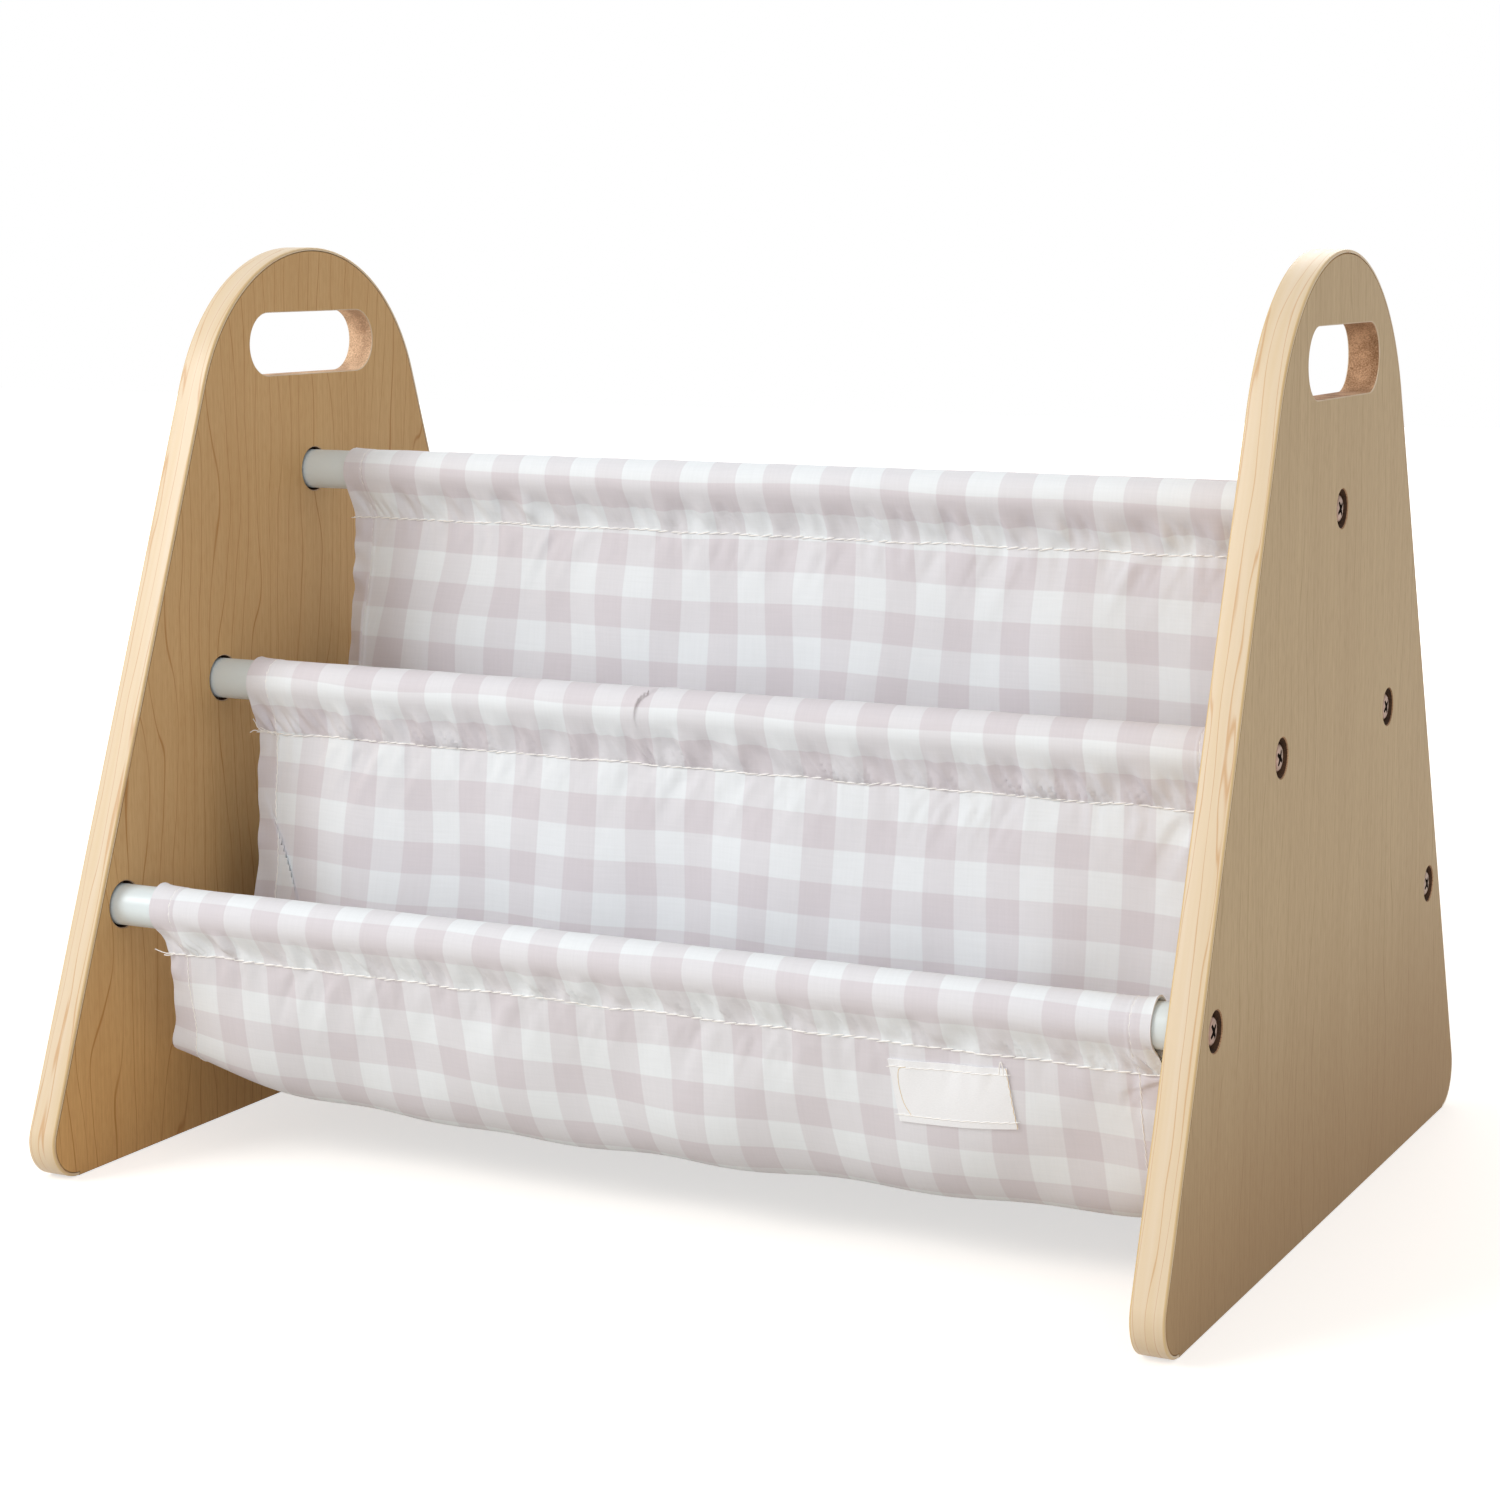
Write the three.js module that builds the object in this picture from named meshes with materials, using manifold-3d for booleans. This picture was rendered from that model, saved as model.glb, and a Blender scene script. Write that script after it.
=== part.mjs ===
// Double-sided sling book rack for children: two A-shaped boards, five steel tubes, and one
// gingham cloth hung over the tubes so that it makes four book pockets.
// Millimetres. X runs along the tubes with the left board at -X, Y from front to back, Z up.
// The origin lies on the floor under the middle of the rack.
import * as THREE from 'three';
import { mergeVertices } from 'three/addons/utils/BufferGeometryUtils.js';
import Module from 'manifold-3d';

const wasm = await Module();
wasm.setup();

// Whole rack
const RACK_WIDTH = 566;
const RACK_HEIGHT = 440;
const RACK_DEPTH = 448;

// Side boards: an A with a round top, straight sloping sides, round foot corners and a flat base
const BOARD_THICKNESS = 15;
const TOP_RADIUS = 101;
const FOOT_RADIUS = 18.5;

// Edge band glued round each board, from one end of the flat base to the other
const EDGE_BAND_THICKNESS = 1.5;
const GLUE_LINE = 0.2;

// Handle slot, a long hole with half-round ends
const SLOT_LENGTH = 111;
const SLOT_HEIGHT = 32;
const SLOT_DROP = 49; // from the top of the board to the slot's centre line

// Tubes: one at the top, two low ones, and a middle one halfway down each side between them
const TUBE_DIAMETER = 20;
const TUBE_WALL = 1.2;
const TOP_TUBE_DROP = 115; // from the top of the board to the axis of the top tube
const LOW_TUBE_HEIGHT = 124.4; // from the floor to the axes of the low tubes
const LOW_TUBE_MARGIN = 20; // from the low tube's axis out to the board's sloping edge

// Blind recess on the board's inner face that a tube end sits in
const RECESS_DEPTH = 5;
const RECESS_PLAY = 1.4; // round the tube

// Room between pieces that touch on the real rack
const SEAT_GAP = 0.3;

// Screws, pan head with a cross recess, sunk in the board's outer face
const SCREW_HEAD_DIAMETER = 13;
const SCREW_HEAD_HEIGHT = 4;
const SCREW_HEAD_ROUND = 1.4;
const SCREW_SHANK_DIAMETER = 5.8;
const SCREW_LENGTH = 20; // under the head
const SCREW_POINT = 1;
const COUNTERBORE_DEPTH = 5;
const COUNTERBORE_PLAY = 2.25; // round the head
const CLEARANCE_HOLE_PLAY = 0.4; // round the shank
const CROSS_SPAN = 7;
const CROSS_WIDTH = 1.3;
const CROSS_DEPTH = 2.2;

// Plugs: a lip against the recess floor, a body inside the tube and a bore for the screw
const PLUG_LIP = 1.5;
const PLUG_BODY = 18;
const PLUG_TAPER = 1.2;
const PLUG_LIP_SETBACK = 0.6; // the lip's rim lies this far inside the tube's outside

// Sling: one cloth, a sewn sleeve round each tube and a pocket between neighbouring sleeves
const CLOTH_THICKNESS = 1.2;
const SLING_LEFT_ROOM = 23; // the cloth has been slid along the tubes to the right
const SLING_RIGHT_ROOM = 6;
const TOP_SEAM_DROP = 24.5; // from the tube's axis to the seam
const MID_SEAM_DROP = 26;
const LOW_SEAM_DROP = 21;
const SEAM_MARGIN = 3; // cloth lies flat on cloth for this height above the seam
const FLOOR_ROOM = 27; // under the low pockets
const BOTTOM_BOW = 4; // the pocket's bottom hangs this much lower halfway along the tubes
const HEM_LIFT = 9; // the side hem draws the pocket's bottom up by this at the left end
const HEM_LIFT_RIGHT = 3;
const HEM_REACH = 30; // how far in from the end that lift dies away
const FOLD_DEPTH = 2.2;
const FOLD_PITCH = 118;
const FOLD_RISE = 30; // below the seam and above the bottom, over which the folds grow
const FOLD_LEAN_SHARE = 0.35; // sideways run of a fold over its length down the cloth
const PUCKER_DEPTH = 1.1;
const PUCKER_PITCH = 84;

// Label, a cotton strip with turned-in edges sewn on the low front pocket
const LABEL_WIDTH = 53;
const LABEL_HEIGHT = 26;
const LABEL_THICKNESS = 0.8;
const LABEL_DROP = 9; // from the seam down the cloth to the label's top edge
const LABEL_SIDE_ROOM = 70; // from the label's right edge to the cloth's right edge
const LABEL_GAP = 0.6; // between the label and the cloth it is sewn on, both in flat faces

// Faces round arcs and along cloth
const TOP_ARC_STEPS = 32;
const FOOT_ARC_STEPS = 10;
const SLOT_ARC_STEPS = 14;
const HOLE_STEPS = 22;
const TUBE_STEPS = 26;
const SCREW_STEPS = 16;
const PLUG_STEPS = 14;
const SLEEVE_ARC_STEPS = 12;
const SLEEVE_SECTIONS = 12;
const POCKET_COLUMNS = 18;
const POCKET_ROWS = 18;
const ROW_CROWDING = 22; // rows lie closest within about this length of the pocket's bottom
const LABEL_COLUMNS = 5;
const LABEL_ROWS = 3;
const OVERRUN = 1; // cutters run past the faces that they open
const SLOPE_STEP = 0.05; // length over which a surface's slope is taken
const HALVINGS = 60; // of the range in which a hanging curve's size is sought
const CURVE_RANGE = 1000; // that range runs from the span over this to the span times this

// Derived sizes
const tubeRadius = TUBE_DIAMETER / 2;
const tubeBoreRadius = tubeRadius - TUBE_WALL;
const recessRadius = tubeRadius + RECESS_PLAY;
const screwHeadRadius = SCREW_HEAD_DIAMETER / 2;
const screwShankRadius = SCREW_SHANK_DIAMETER / 2;
const counterboreRadius = screwHeadRadius + COUNTERBORE_PLAY;
const clearanceHoleRadius = screwShankRadius + CLEARANCE_HOLE_PLAY;
const outerFace = RACK_WIDTH / 2;
const innerFace = outerFace - BOARD_THICKNESS;
const recessFloor = innerFace + RECESS_DEPTH;
const counterboreFloor = outerFace - COUNTERBORE_DEPTH;
const plugLipEnd = recessFloor - SEAT_GAP;
const tubeEnd = plugLipEnd - PLUG_LIP - SEAT_GAP;
const slingLeft = -innerFace + SLING_LEFT_ROOM;
const slingRight = innerFace - SLING_RIGHT_ROOM;

// Finishes
const laminate = new THREE.MeshStandardMaterial({ color: 0xb29a6e, roughness: 0.55, metalness: 0 });
const edgeMaple = new THREE.MeshStandardMaterial({ color: 0xf0ddbd, roughness: 0.5, metalness: 0 });
const whitePaint = new THREE.MeshStandardMaterial({ color: 0xf1f4f5, roughness: 0.35, metalness: 0 });
const nylon = new THREE.MeshStandardMaterial({ color: 0xd9d8d2, roughness: 0.5, metalness: 0 });
const zincSteel = new THREE.MeshStandardMaterial({ color: 0xa89a86, roughness: 0.35, metalness: 0.9 });
const gingham = new THREE.MeshStandardMaterial({ color: 0xe2dddd, roughness: 0.95, metalness: 0 });
const cotton = new THREE.MeshStandardMaterial({ color: 0xf4f1ec, roughness: 0.95, metalness: 0 });

const rack = new THREE.Group();

function addPiece(name, geometry, material) {
  const mesh = new THREE.Mesh(geometry, material);
  mesh.name = name;
  rack.add(mesh);
  return mesh;
}

// Solids for cutting

function toSolid(geometry) {
  const bare = geometry.clone();
  bare.deleteAttribute('normal');
  bare.deleteAttribute('uv');
  const welded = mergeVertices(bare);
  const vertProperties = new Float32Array(welded.attributes.position.array);
  const triVerts = new Uint32Array(welded.index.array);
  return new wasm.Manifold(new wasm.Mesh({ numProp: 3, vertProperties, triVerts }));
}

function toGeometry(solid) {
  const mesh = solid.getMesh();
  const geometry = new THREE.BufferGeometry();
  geometry.setAttribute('position', new THREE.BufferAttribute(mesh.vertProperties, mesh.numProp));
  geometry.setIndex(new THREE.BufferAttribute(mesh.triVerts, 1));
  return geometry;
}

// Points of an arc about (y, z), from one angle to another in the board's plane
function arcPoints(y, z, radius, from, to, steps) {
  return Array.from({ length: steps + 1 }, (_, i) => {
    const angle = from + ((to - from) * i) / steps;
    return new THREE.Vector2(y + radius * Math.cos(angle), z + radius * Math.sin(angle));
  });
}

// An outline in the YZ plane, extruded along X from x0 to x1
function extrudeAlongX(outline, holes, x0, x1) {
  const shape = new THREE.Shape(outline);
  shape.holes = holes.map((hole) => new THREE.Path(hole));
  const geometry = new THREE.ExtrudeGeometry(shape, { depth: x1 - x0, bevelEnabled: false });
  const yAxis = new THREE.Vector3(0, 1, 0);
  const zAxis = new THREE.Vector3(0, 0, 1);
  const xAxis = new THREE.Vector3(1, 0, 0);
  geometry.applyMatrix4(new THREE.Matrix4().makeBasis(yAxis, zAxis, xAxis));
  geometry.translate(x0, 0, 0);
  return geometry;
}

// A closed profile of [radius, x] points turned about the X axis
function turnAboutX(profile, steps) {
  const points = profile.map(([radius, x]) => new THREE.Vector2(radius, x));
  const geometry = new THREE.LatheGeometry(points, steps);
  geometry.rotateZ(-Math.PI / 2);
  return geometry;
}

// Board outline: the sloping side is tangent to the top circle and to the foot circle

const topCentre = new THREE.Vector2(0, RACK_HEIGHT - TOP_RADIUS);
const footCentre = new THREE.Vector2(RACK_DEPTH / 2 - FOOT_RADIUS, FOOT_RADIUS);
const centreLine = topCentre.clone().sub(footCentre);
const sideNormal = centreLine.angle() - Math.acos((FOOT_RADIUS - TOP_RADIUS) / centreLine.length());

// How far the sloping edge lies from the middle plane at a height
function edgeOffsetAt(height) {
  return (FOOT_RADIUS + footCentre.x * Math.cos(sideNormal)
    + (footCentre.y - height) * Math.sin(sideNormal)) / Math.cos(sideNormal);
}

// The curved run of the outline, drawn in by a distance, from the back foot over the top
function bandRun(drawnIn) {
  const foot = FOOT_RADIUS - drawnIn;
  const top = TOP_RADIUS - drawnIn;
  const mirrored = Math.PI - sideNormal;
  return [
    ...arcPoints(footCentre.x, footCentre.y, foot, -Math.PI / 2, sideNormal, FOOT_ARC_STEPS),
    ...arcPoints(topCentre.x, topCentre.y, top, sideNormal, mirrored, TOP_ARC_STEPS),
    ...arcPoints(-footCentre.x, footCentre.y, foot, mirrored, (3 * Math.PI) / 2, FOOT_ARC_STEPS),
  ];
}

const boardDrawnIn = EDGE_BAND_THICKNESS + GLUE_LINE;

// The board itself: the run drawn in under the edge band, and a shoulder down to the flat base
function boardOutline() {
  const shoulder = footCentre.x - GLUE_LINE;
  return [
    new THREE.Vector2(-shoulder, 0),
    new THREE.Vector2(shoulder, 0),
    new THREE.Vector2(shoulder, boardDrawnIn),
    ...bandRun(boardDrawnIn),
    new THREE.Vector2(-shoulder, boardDrawnIn),
  ];
}

function edgeBandOutline() {
  return [...bandRun(0), ...bandRun(EDGE_BAND_THICKNESS).reverse()];
}

const slotHeight = RACK_HEIGHT - SLOT_DROP;

function slotOutline() {
  const radius = SLOT_HEIGHT / 2;
  const centre = SLOT_LENGTH / 2 - radius;
  const quarter = Math.PI / 2;
  return [
    ...arcPoints(centre, slotHeight, radius, -quarter, quarter, SLOT_ARC_STEPS),
    ...arcPoints(-centre, slotHeight, radius, quarter, 3 * quarter, SLOT_ARC_STEPS),
  ];
}

// Where each tube lies: its axis, and how far below it the sling's seam runs

const topTubeHeight = RACK_HEIGHT - TOP_TUBE_DROP;
const midTubeHeight = (topTubeHeight + LOW_TUBE_HEIGHT) / 2;
const lowTubeOffset = edgeOffsetAt(LOW_TUBE_HEIGHT) - LOW_TUBE_MARGIN;
const tubePlaces = [
  { name: 'low_front', y: -lowTubeOffset, z: LOW_TUBE_HEIGHT, seamDrop: LOW_SEAM_DROP },
  { name: 'mid_front', y: -lowTubeOffset / 2, z: midTubeHeight, seamDrop: MID_SEAM_DROP },
  { name: 'top', y: 0, z: topTubeHeight, seamDrop: TOP_SEAM_DROP },
  { name: 'mid_back', y: lowTubeOffset / 2, z: midTubeHeight, seamDrop: MID_SEAM_DROP },
  { name: 'low_back', y: lowTubeOffset, z: LOW_TUBE_HEIGHT, seamDrop: LOW_SEAM_DROP },
];

// Boards, with the stepped hole of each tube: recess, clearance hole and counterbore

function steppedHole(place) {
  const cutter = turnAboutX([
    [0, innerFace - OVERRUN],
    [recessRadius, innerFace - OVERRUN],
    [recessRadius, recessFloor],
    [clearanceHoleRadius, recessFloor],
    [clearanceHoleRadius, counterboreFloor],
    [counterboreRadius, counterboreFloor],
    [counterboreRadius, outerFace + OVERRUN],
    [0, outerFace + OVERRUN],
  ], HOLE_STEPS);
  return toSolid(cutter.translate(0, place.y, place.z));
}

let board = toSolid(extrudeAlongX(boardOutline(), [slotOutline()], innerFace, outerFace));
for (const place of tubePlaces) {
  board = board.subtract(steppedHole(place));
}
const boardGeometry = toGeometry(board);
const edgeBandGeometry = extrudeAlongX(edgeBandOutline(), [], innerFace, outerFace);

// The left side is the right one turned half round the vertical, because both are symmetric
const sides = [
  { name: 'right', turn: 0 },
  { name: 'left', turn: Math.PI },
];
for (const side of sides) {
  addPiece(`side_panel_${side.name}`, boardGeometry, laminate).rotation.z = side.turn;
  addPiece(`edge_band_${side.name}`, edgeBandGeometry, edgeMaple).rotation.z = side.turn;
}

// Tubes

const tubeGeometry = turnAboutX([
  [tubeBoreRadius, -tubeEnd],
  [tubeRadius, -tubeEnd],
  [tubeRadius, tubeEnd],
  [tubeBoreRadius, tubeEnd],
  [tubeBoreRadius, -tubeEnd],
], TUBE_STEPS);
for (const place of tubePlaces) {
  addPiece(`tube_${place.name}`, tubeGeometry, whitePaint).position.set(0, place.y, place.z);
}

// Plugs and screws, drawn for the right end of a tube

const plugLipRadius = tubeRadius - PLUG_LIP_SETBACK;
const plugBodyRadius = tubeBoreRadius - SEAT_GAP;
const plugLipStart = plugLipEnd - PLUG_LIP;
const plugBodyEnd = plugLipStart - PLUG_BODY;
const plugGeometry = turnAboutX([
  [clearanceHoleRadius, plugBodyEnd],
  [plugBodyRadius - PLUG_TAPER, plugBodyEnd],
  [plugBodyRadius, plugBodyEnd + PLUG_TAPER],
  [plugBodyRadius, plugLipStart],
  [plugLipRadius, plugLipStart],
  [plugLipRadius, plugLipEnd],
  [clearanceHoleRadius, plugLipEnd],
  [clearanceHoleRadius, plugBodyEnd],
], PLUG_STEPS);

function crossOutline() {
  const arm = CROSS_SPAN / 2;
  const half = CROSS_WIDTH / 2;
  const corners = [[arm, half], [half, half], [half, arm]];
  return [0, 1, 2, 3].flatMap((quarter) => corners.map(([y, z]) => (
    new THREE.Vector2(y, z).rotateAround(new THREE.Vector2(), (quarter * Math.PI) / 2)
  )));
}

function screwSolid() {
  const seat = counterboreFloor + SEAT_GAP;
  const crown = seat + SCREW_HEAD_HEIGHT;
  const tip = seat - SCREW_LENGTH;
  const blank = toSolid(turnAboutX([
    [0, tip],
    [screwShankRadius - SCREW_POINT, tip],
    [screwShankRadius, tip + SCREW_POINT],
    [screwShankRadius, seat],
    [screwHeadRadius, seat],
    [screwHeadRadius, crown - SCREW_HEAD_ROUND],
    [screwHeadRadius - SCREW_HEAD_ROUND, crown],
    [0, crown],
  ], SCREW_STEPS));
  const cross = toSolid(extrudeAlongX(crossOutline(), [], crown - CROSS_DEPTH, crown + OVERRUN));
  return blank.subtract(cross);
}

const screwGeometry = toGeometry(screwSolid());
for (const side of sides) {
  for (const place of tubePlaces) {
    const end = `${place.name}_${side.name}`;
    for (const [kind, geometry, material] of [
      ['tube_plug', plugGeometry, nylon],
      ['screw', screwGeometry, zincSteel],
    ]) {
      const piece = addPiece(`${kind}_${end}`, geometry, material);
      piece.rotation.z = side.turn;
      piece.position.set(0, place.y, place.z);
    }
  }
}

// Sling sleeves: the cloth goes up one side of the tube, over it, and down to the seam, where
// both layers are sewn together. Shallow puckers swell its sides between the tube and the seam.

const sleeveInnerRadius = tubeRadius + SEAT_GAP;
const sleeveOuterRadius = sleeveInnerRadius + CLOTH_THICKNESS;

// Angle at which a line from a point below the tube touches a circle about the tube's axis
function touchAngle(y, z, radius) {
  return Math.atan2(z, y) + Math.acos(radius / Math.hypot(y, z));
}

function sleeveOuterLoop(seamDrop) {
  const touch = touchAngle(CLOTH_THICKNESS, -seamDrop, sleeveOuterRadius);
  const arc = arcPoints(0, 0, sleeveOuterRadius, touch, Math.PI - touch, SLEEVE_ARC_STEPS);
  const right = new THREE.Vector2(CLOTH_THICKNESS, -seamDrop);
  const left = new THREE.Vector2(-CLOTH_THICKNESS, -seamDrop);
  const halfway = (a, b) => a.clone().add(b).divideScalar(2);
  return [right, halfway(right, arc[0]), ...arc, halfway(left, arc[arc.length - 1]), left];
}

function sleeveInnerLoop(seamDrop) {
  const tip = new THREE.Vector2(0, SEAM_MARGIN - seamDrop);
  const touch = touchAngle(tip.x, tip.y, sleeveInnerRadius);
  const steps = SLEEVE_ARC_STEPS + 2;
  return [tip, ...arcPoints(0, 0, sleeveInnerRadius, touch, Math.PI - touch, steps), tip];
}

// Puckers swell what lies between the tube's middle and the seam, most of all halfway
function puckerAt(x, point, seamDrop, sign) {
  const depthShare = Math.min(Math.max(-point.y / seamDrop, 0), 1);
  const wave = 0.5 - 0.5 * Math.cos((2 * Math.PI * x) / PUCKER_PITCH + sign * point.x / tubeRadius);
  return PUCKER_DEPTH * wave * Math.sin(Math.PI * depthShare);
}

function sleeveGeometry(place) {
  const outer = sleeveOuterLoop(place.seamDrop);
  const inner = sleeveInnerLoop(place.seamDrop);
  const count = outer.length;
  const positions = [];
  const addPoint = (x, y, z) => positions.push(x, place.y + y, place.z + z);
  for (let i = 0; i <= SLEEVE_SECTIONS; i += 1) {
    const x = slingLeft + ((slingRight - slingLeft) * i) / SLEEVE_SECTIONS;
    for (const point of outer) {
      const side = Math.sign(point.x);
      addPoint(x, point.x + side * puckerAt(x, point, place.seamDrop, side), point.y);
    }
  }
  const innerStart = positions.length / 3;
  for (const x of [slingLeft, slingRight]) {
    inner.forEach((point) => addPoint(x, point.x, point.y));
  }
  const triangles = [];
  const quad = (a, b, c, d) => triangles.push(a, b, c, a, c, d);
  for (let i = 0; i < SLEEVE_SECTIONS; i += 1) {
    for (let k = 0; k < count; k += 1) {
      const next = (k + 1) % count;
      quad(i * count + k, i * count + next, (i + 1) * count + next, (i + 1) * count + k);
    }
  }
  for (let k = 0; k < count - 1; k += 1) {
    quad(innerStart + k, innerStart + count + k, innerStart + count + k + 1, innerStart + k + 1);
    quad(k, innerStart + k, innerStart + k + 1, k + 1);
    const end = SLEEVE_SECTIONS * count;
    quad(end + k, end + k + 1, innerStart + count + k + 1, innerStart + count + k);
  }
  triangles.push(0, count - 1, innerStart);
  triangles.push(SLEEVE_SECTIONS * count, innerStart + count, (SLEEVE_SECTIONS + 1) * count - 1);
  const geometry = new THREE.BufferGeometry();
  geometry.setAttribute('position', new THREE.Float32BufferAttribute(positions, 3));
  geometry.setIndex(triangles);
  return mergeVertices(geometry);
}

for (const place of tubePlaces) {
  addPiece(`sling_sleeve_${place.name}`, sleeveGeometry(place), gingham);
}

// Sling pockets: between two seams the cloth hangs in a catenary, y = y0 + a asinh(s / a) and
// z = bottom - a + hypot(a, s), with s the length along the cloth from its lowest point.

function hangBetween(start, end, bottom) {
  const span = end.y - start.y;
  const reach = (a, z) => a * Math.acosh(1 + (z - bottom) / a);
  let low = span / CURVE_RANGE;
  let high = span * CURVE_RANGE;
  for (let i = 0; i < HALVINGS; i += 1) {
    const a = (low + high) / 2;
    if (reach(a, start.z) + reach(a, end.z) > span) high = a;
    else low = a;
  }
  const a = low;
  const runAt = (z) => Math.sqrt((a + z - bottom) ** 2 - a ** 2);
  return { a, y0: start.y + reach(a, start.z), bottom, from: -runAt(start.z), to: runAt(end.z) };
}

// The bottom bows down between the ends, and the hems draw it up at the ends
function bottomLift(x) {
  const fromMiddleShare = (2 * x - slingLeft - slingRight) / (slingRight - slingLeft);
  return BOTTOM_BOW * fromMiddleShare ** 2
    + HEM_LIFT * Math.exp(-(x - slingLeft) / HEM_REACH)
    + HEM_LIFT_RIGHT * Math.exp(-(slingRight - x) / HEM_REACH);
}

// Shallow leaning folds that start at nothing on each seam and fade out at the bottom
function foldAt(x, hang, s) {
  const grown = (distance) => 1 - Math.exp(-((distance / FOLD_RISE) ** 2));
  const nearestSeam = Math.min(s - hang.from, hang.to - s);
  const wave = Math.sin((2 * Math.PI * (x + FOLD_LEAN_SHARE * s)) / FOLD_PITCH);
  return FOLD_DEPTH * grown(nearestSeam) * grown(s) * wave;
}

function hangAt(pocket, x) {
  return hangBetween(pocket.outer, pocket.inner, pocket.outer.z - pocket.depth + bottomLift(x));
}

// A point of the cloth's middle surface, at a length down the cloth from the outer seam
function pocketPoint(pocket, x, fall) {
  const hang = hangAt(pocket, x);
  const s = hang.from + fall;
  const y = hang.y0 + hang.a * Math.asinh(s / hang.a);
  const z = hang.bottom - hang.a + Math.hypot(hang.a, s);
  const slope = s / hang.a;
  const fold = foldAt(x, hang, s) / Math.hypot(1, slope);
  return new THREE.Vector3(x, pocket.side * (y + slope * fold), z - fold);
}

// Length down the cloth at which a row lies, by its share of all the rows
function rowFall(pocket, x, share) {
  const { from, to } = hangAt(pocket, x);
  const first = Math.asinh(from / ROW_CROWDING);
  const last = Math.asinh(to / ROW_CROWDING);
  return ROW_CROWDING * Math.sinh(first + (last - first) * share) - from;
}

// A closed sheet of even thickness about a surface, from its points at x and at a length down it
function sheetGeometry(pointAt, xAt, fallAt, columns, rows, thickness) {
  const faces = [[], []];
  for (let i = 0; i <= columns; i += 1) {
    for (let j = 0; j <= rows; j += 1) {
      const x = xAt(i / columns);
      const fall = fallAt(x, j / rows);
      const middle = pointAt(x, fall);
      const along = pointAt(x + SLOPE_STEP, fall).sub(middle);
      const down = pointAt(x, fall + SLOPE_STEP).sub(middle);
      const normal = along.cross(down).normalize().multiplyScalar(thickness / 2);
      faces[0].push(...middle.clone().add(normal).toArray());
      faces[1].push(...middle.clone().sub(normal).toArray());
    }
  }
  const other = (columns + 1) * (rows + 1);
  const at = (i, j) => i * (rows + 1) + j;
  const triangles = [];
  const quad = (a, b, c, d) => triangles.push(a, b, c, a, c, d);
  for (let i = 0; i < columns; i += 1) {
    for (let j = 0; j < rows; j += 1) {
      quad(at(i, j), at(i + 1, j), at(i + 1, j + 1), at(i, j + 1));
      quad(other + at(i, j), other + at(i, j + 1), other + at(i + 1, j + 1), other + at(i + 1, j));
    }
  }
  for (let i = 0; i < columns; i += 1) {
    quad(at(i + 1, 0), at(i, 0), other + at(i, 0), other + at(i + 1, 0));
    quad(at(i, rows), at(i + 1, rows), other + at(i + 1, rows), other + at(i, rows));
  }
  for (let j = 0; j < rows; j += 1) {
    quad(at(0, j), at(0, j + 1), other + at(0, j + 1), other + at(0, j));
    quad(at(columns, j + 1), at(columns, j), other + at(columns, j), other + at(columns, j + 1));
  }
  const geometry = new THREE.BufferGeometry();
  geometry.setAttribute('position', new THREE.Float32BufferAttribute([...faces[0], ...faces[1]], 3));
  geometry.setIndex(triangles);
  return geometry;
}

// The pocket hangs from just under two seams. Under a middle or top sleeve two pockets share a
// seam, so each takes its own half of it. The low seam carries one pocket, on its outer half.
const seamHalf = (CLOTH_THICKNESS + SEAT_GAP) / 2;
const seamEnd = (place, inwards) => ({
  y: -Math.abs(place.y) + inwards * seamHalf,
  z: place.z - place.seamDrop - SEAT_GAP,
});
const [lowFront, midFront, topTube] = tubePlaces;
const pocketDepth = LOW_TUBE_HEIGHT - LOW_SEAM_DROP - FLOOR_ROOM;
const pocketKinds = [
  { name: 'low', outer: seamEnd(lowFront, -1), inner: seamEnd(midFront, -1) },
  { name: 'high', outer: seamEnd(midFront, 1), inner: seamEnd(topTube, -1) },
];
const pocketSides = [
  { name: 'front', side: 1 },
  { name: 'back', side: -1 },
];
const slingX = (share) => slingLeft + (slingRight - slingLeft) * share;
for (const kind of pocketKinds) {
  for (const { name, side } of pocketSides) {
    const pocket = { ...kind, side, depth: pocketDepth };
    addPiece(`sling_pocket_${kind.name}_${name}`, sheetGeometry(
      (x, fall) => pocketPoint(pocket, x, fall),
      slingX,
      (x, share) => rowFall(pocket, x, share),
      POCKET_COLUMNS,
      POCKET_ROWS,
      CLOTH_THICKNESS,
    ), gingham);
  }
}

// Label: a patch that lies on the outside of the low front pocket

function labelGeometry() {
  const pocket = { ...pocketKinds[0], side: 1, depth: pocketDepth };
  const right = slingRight - LABEL_SIDE_ROOM;
  const clear = (CLOTH_THICKNESS + LABEL_THICKNESS) / 2 + LABEL_GAP;
  const pointAt = (x, fall) => {
    const point = pocketPoint(pocket, x, fall);
    const down = pocketPoint(pocket, x, fall + SLOPE_STEP).sub(point);
    const along = pocketPoint(pocket, x + SLOPE_STEP, fall).sub(point);
    return point.add(along.cross(down).normalize().multiplyScalar(-clear));
  };
  return sheetGeometry(
    pointAt,
    (share) => right - LABEL_WIDTH * (1 - share),
    (x, share) => LABEL_DROP + LABEL_HEIGHT * share,
    LABEL_COLUMNS,
    LABEL_ROWS,
    LABEL_THICKNESS,
  );
}

addPiece('label', labelGeometry(), cotton);

export default rack;
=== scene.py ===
# Double-sided sling book rack for children: two A-shaped laminated boards, five white steel
# tubes, and one gingham cloth hung over the tubes so that it makes four book pockets.
# Metres. X runs along the tubes with the left board at -X, Y from front to back, Z up.
import math

import bmesh
import bpy
import numpy as np
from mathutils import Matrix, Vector
from mathutils.geometry import tessellate_polygon


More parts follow.
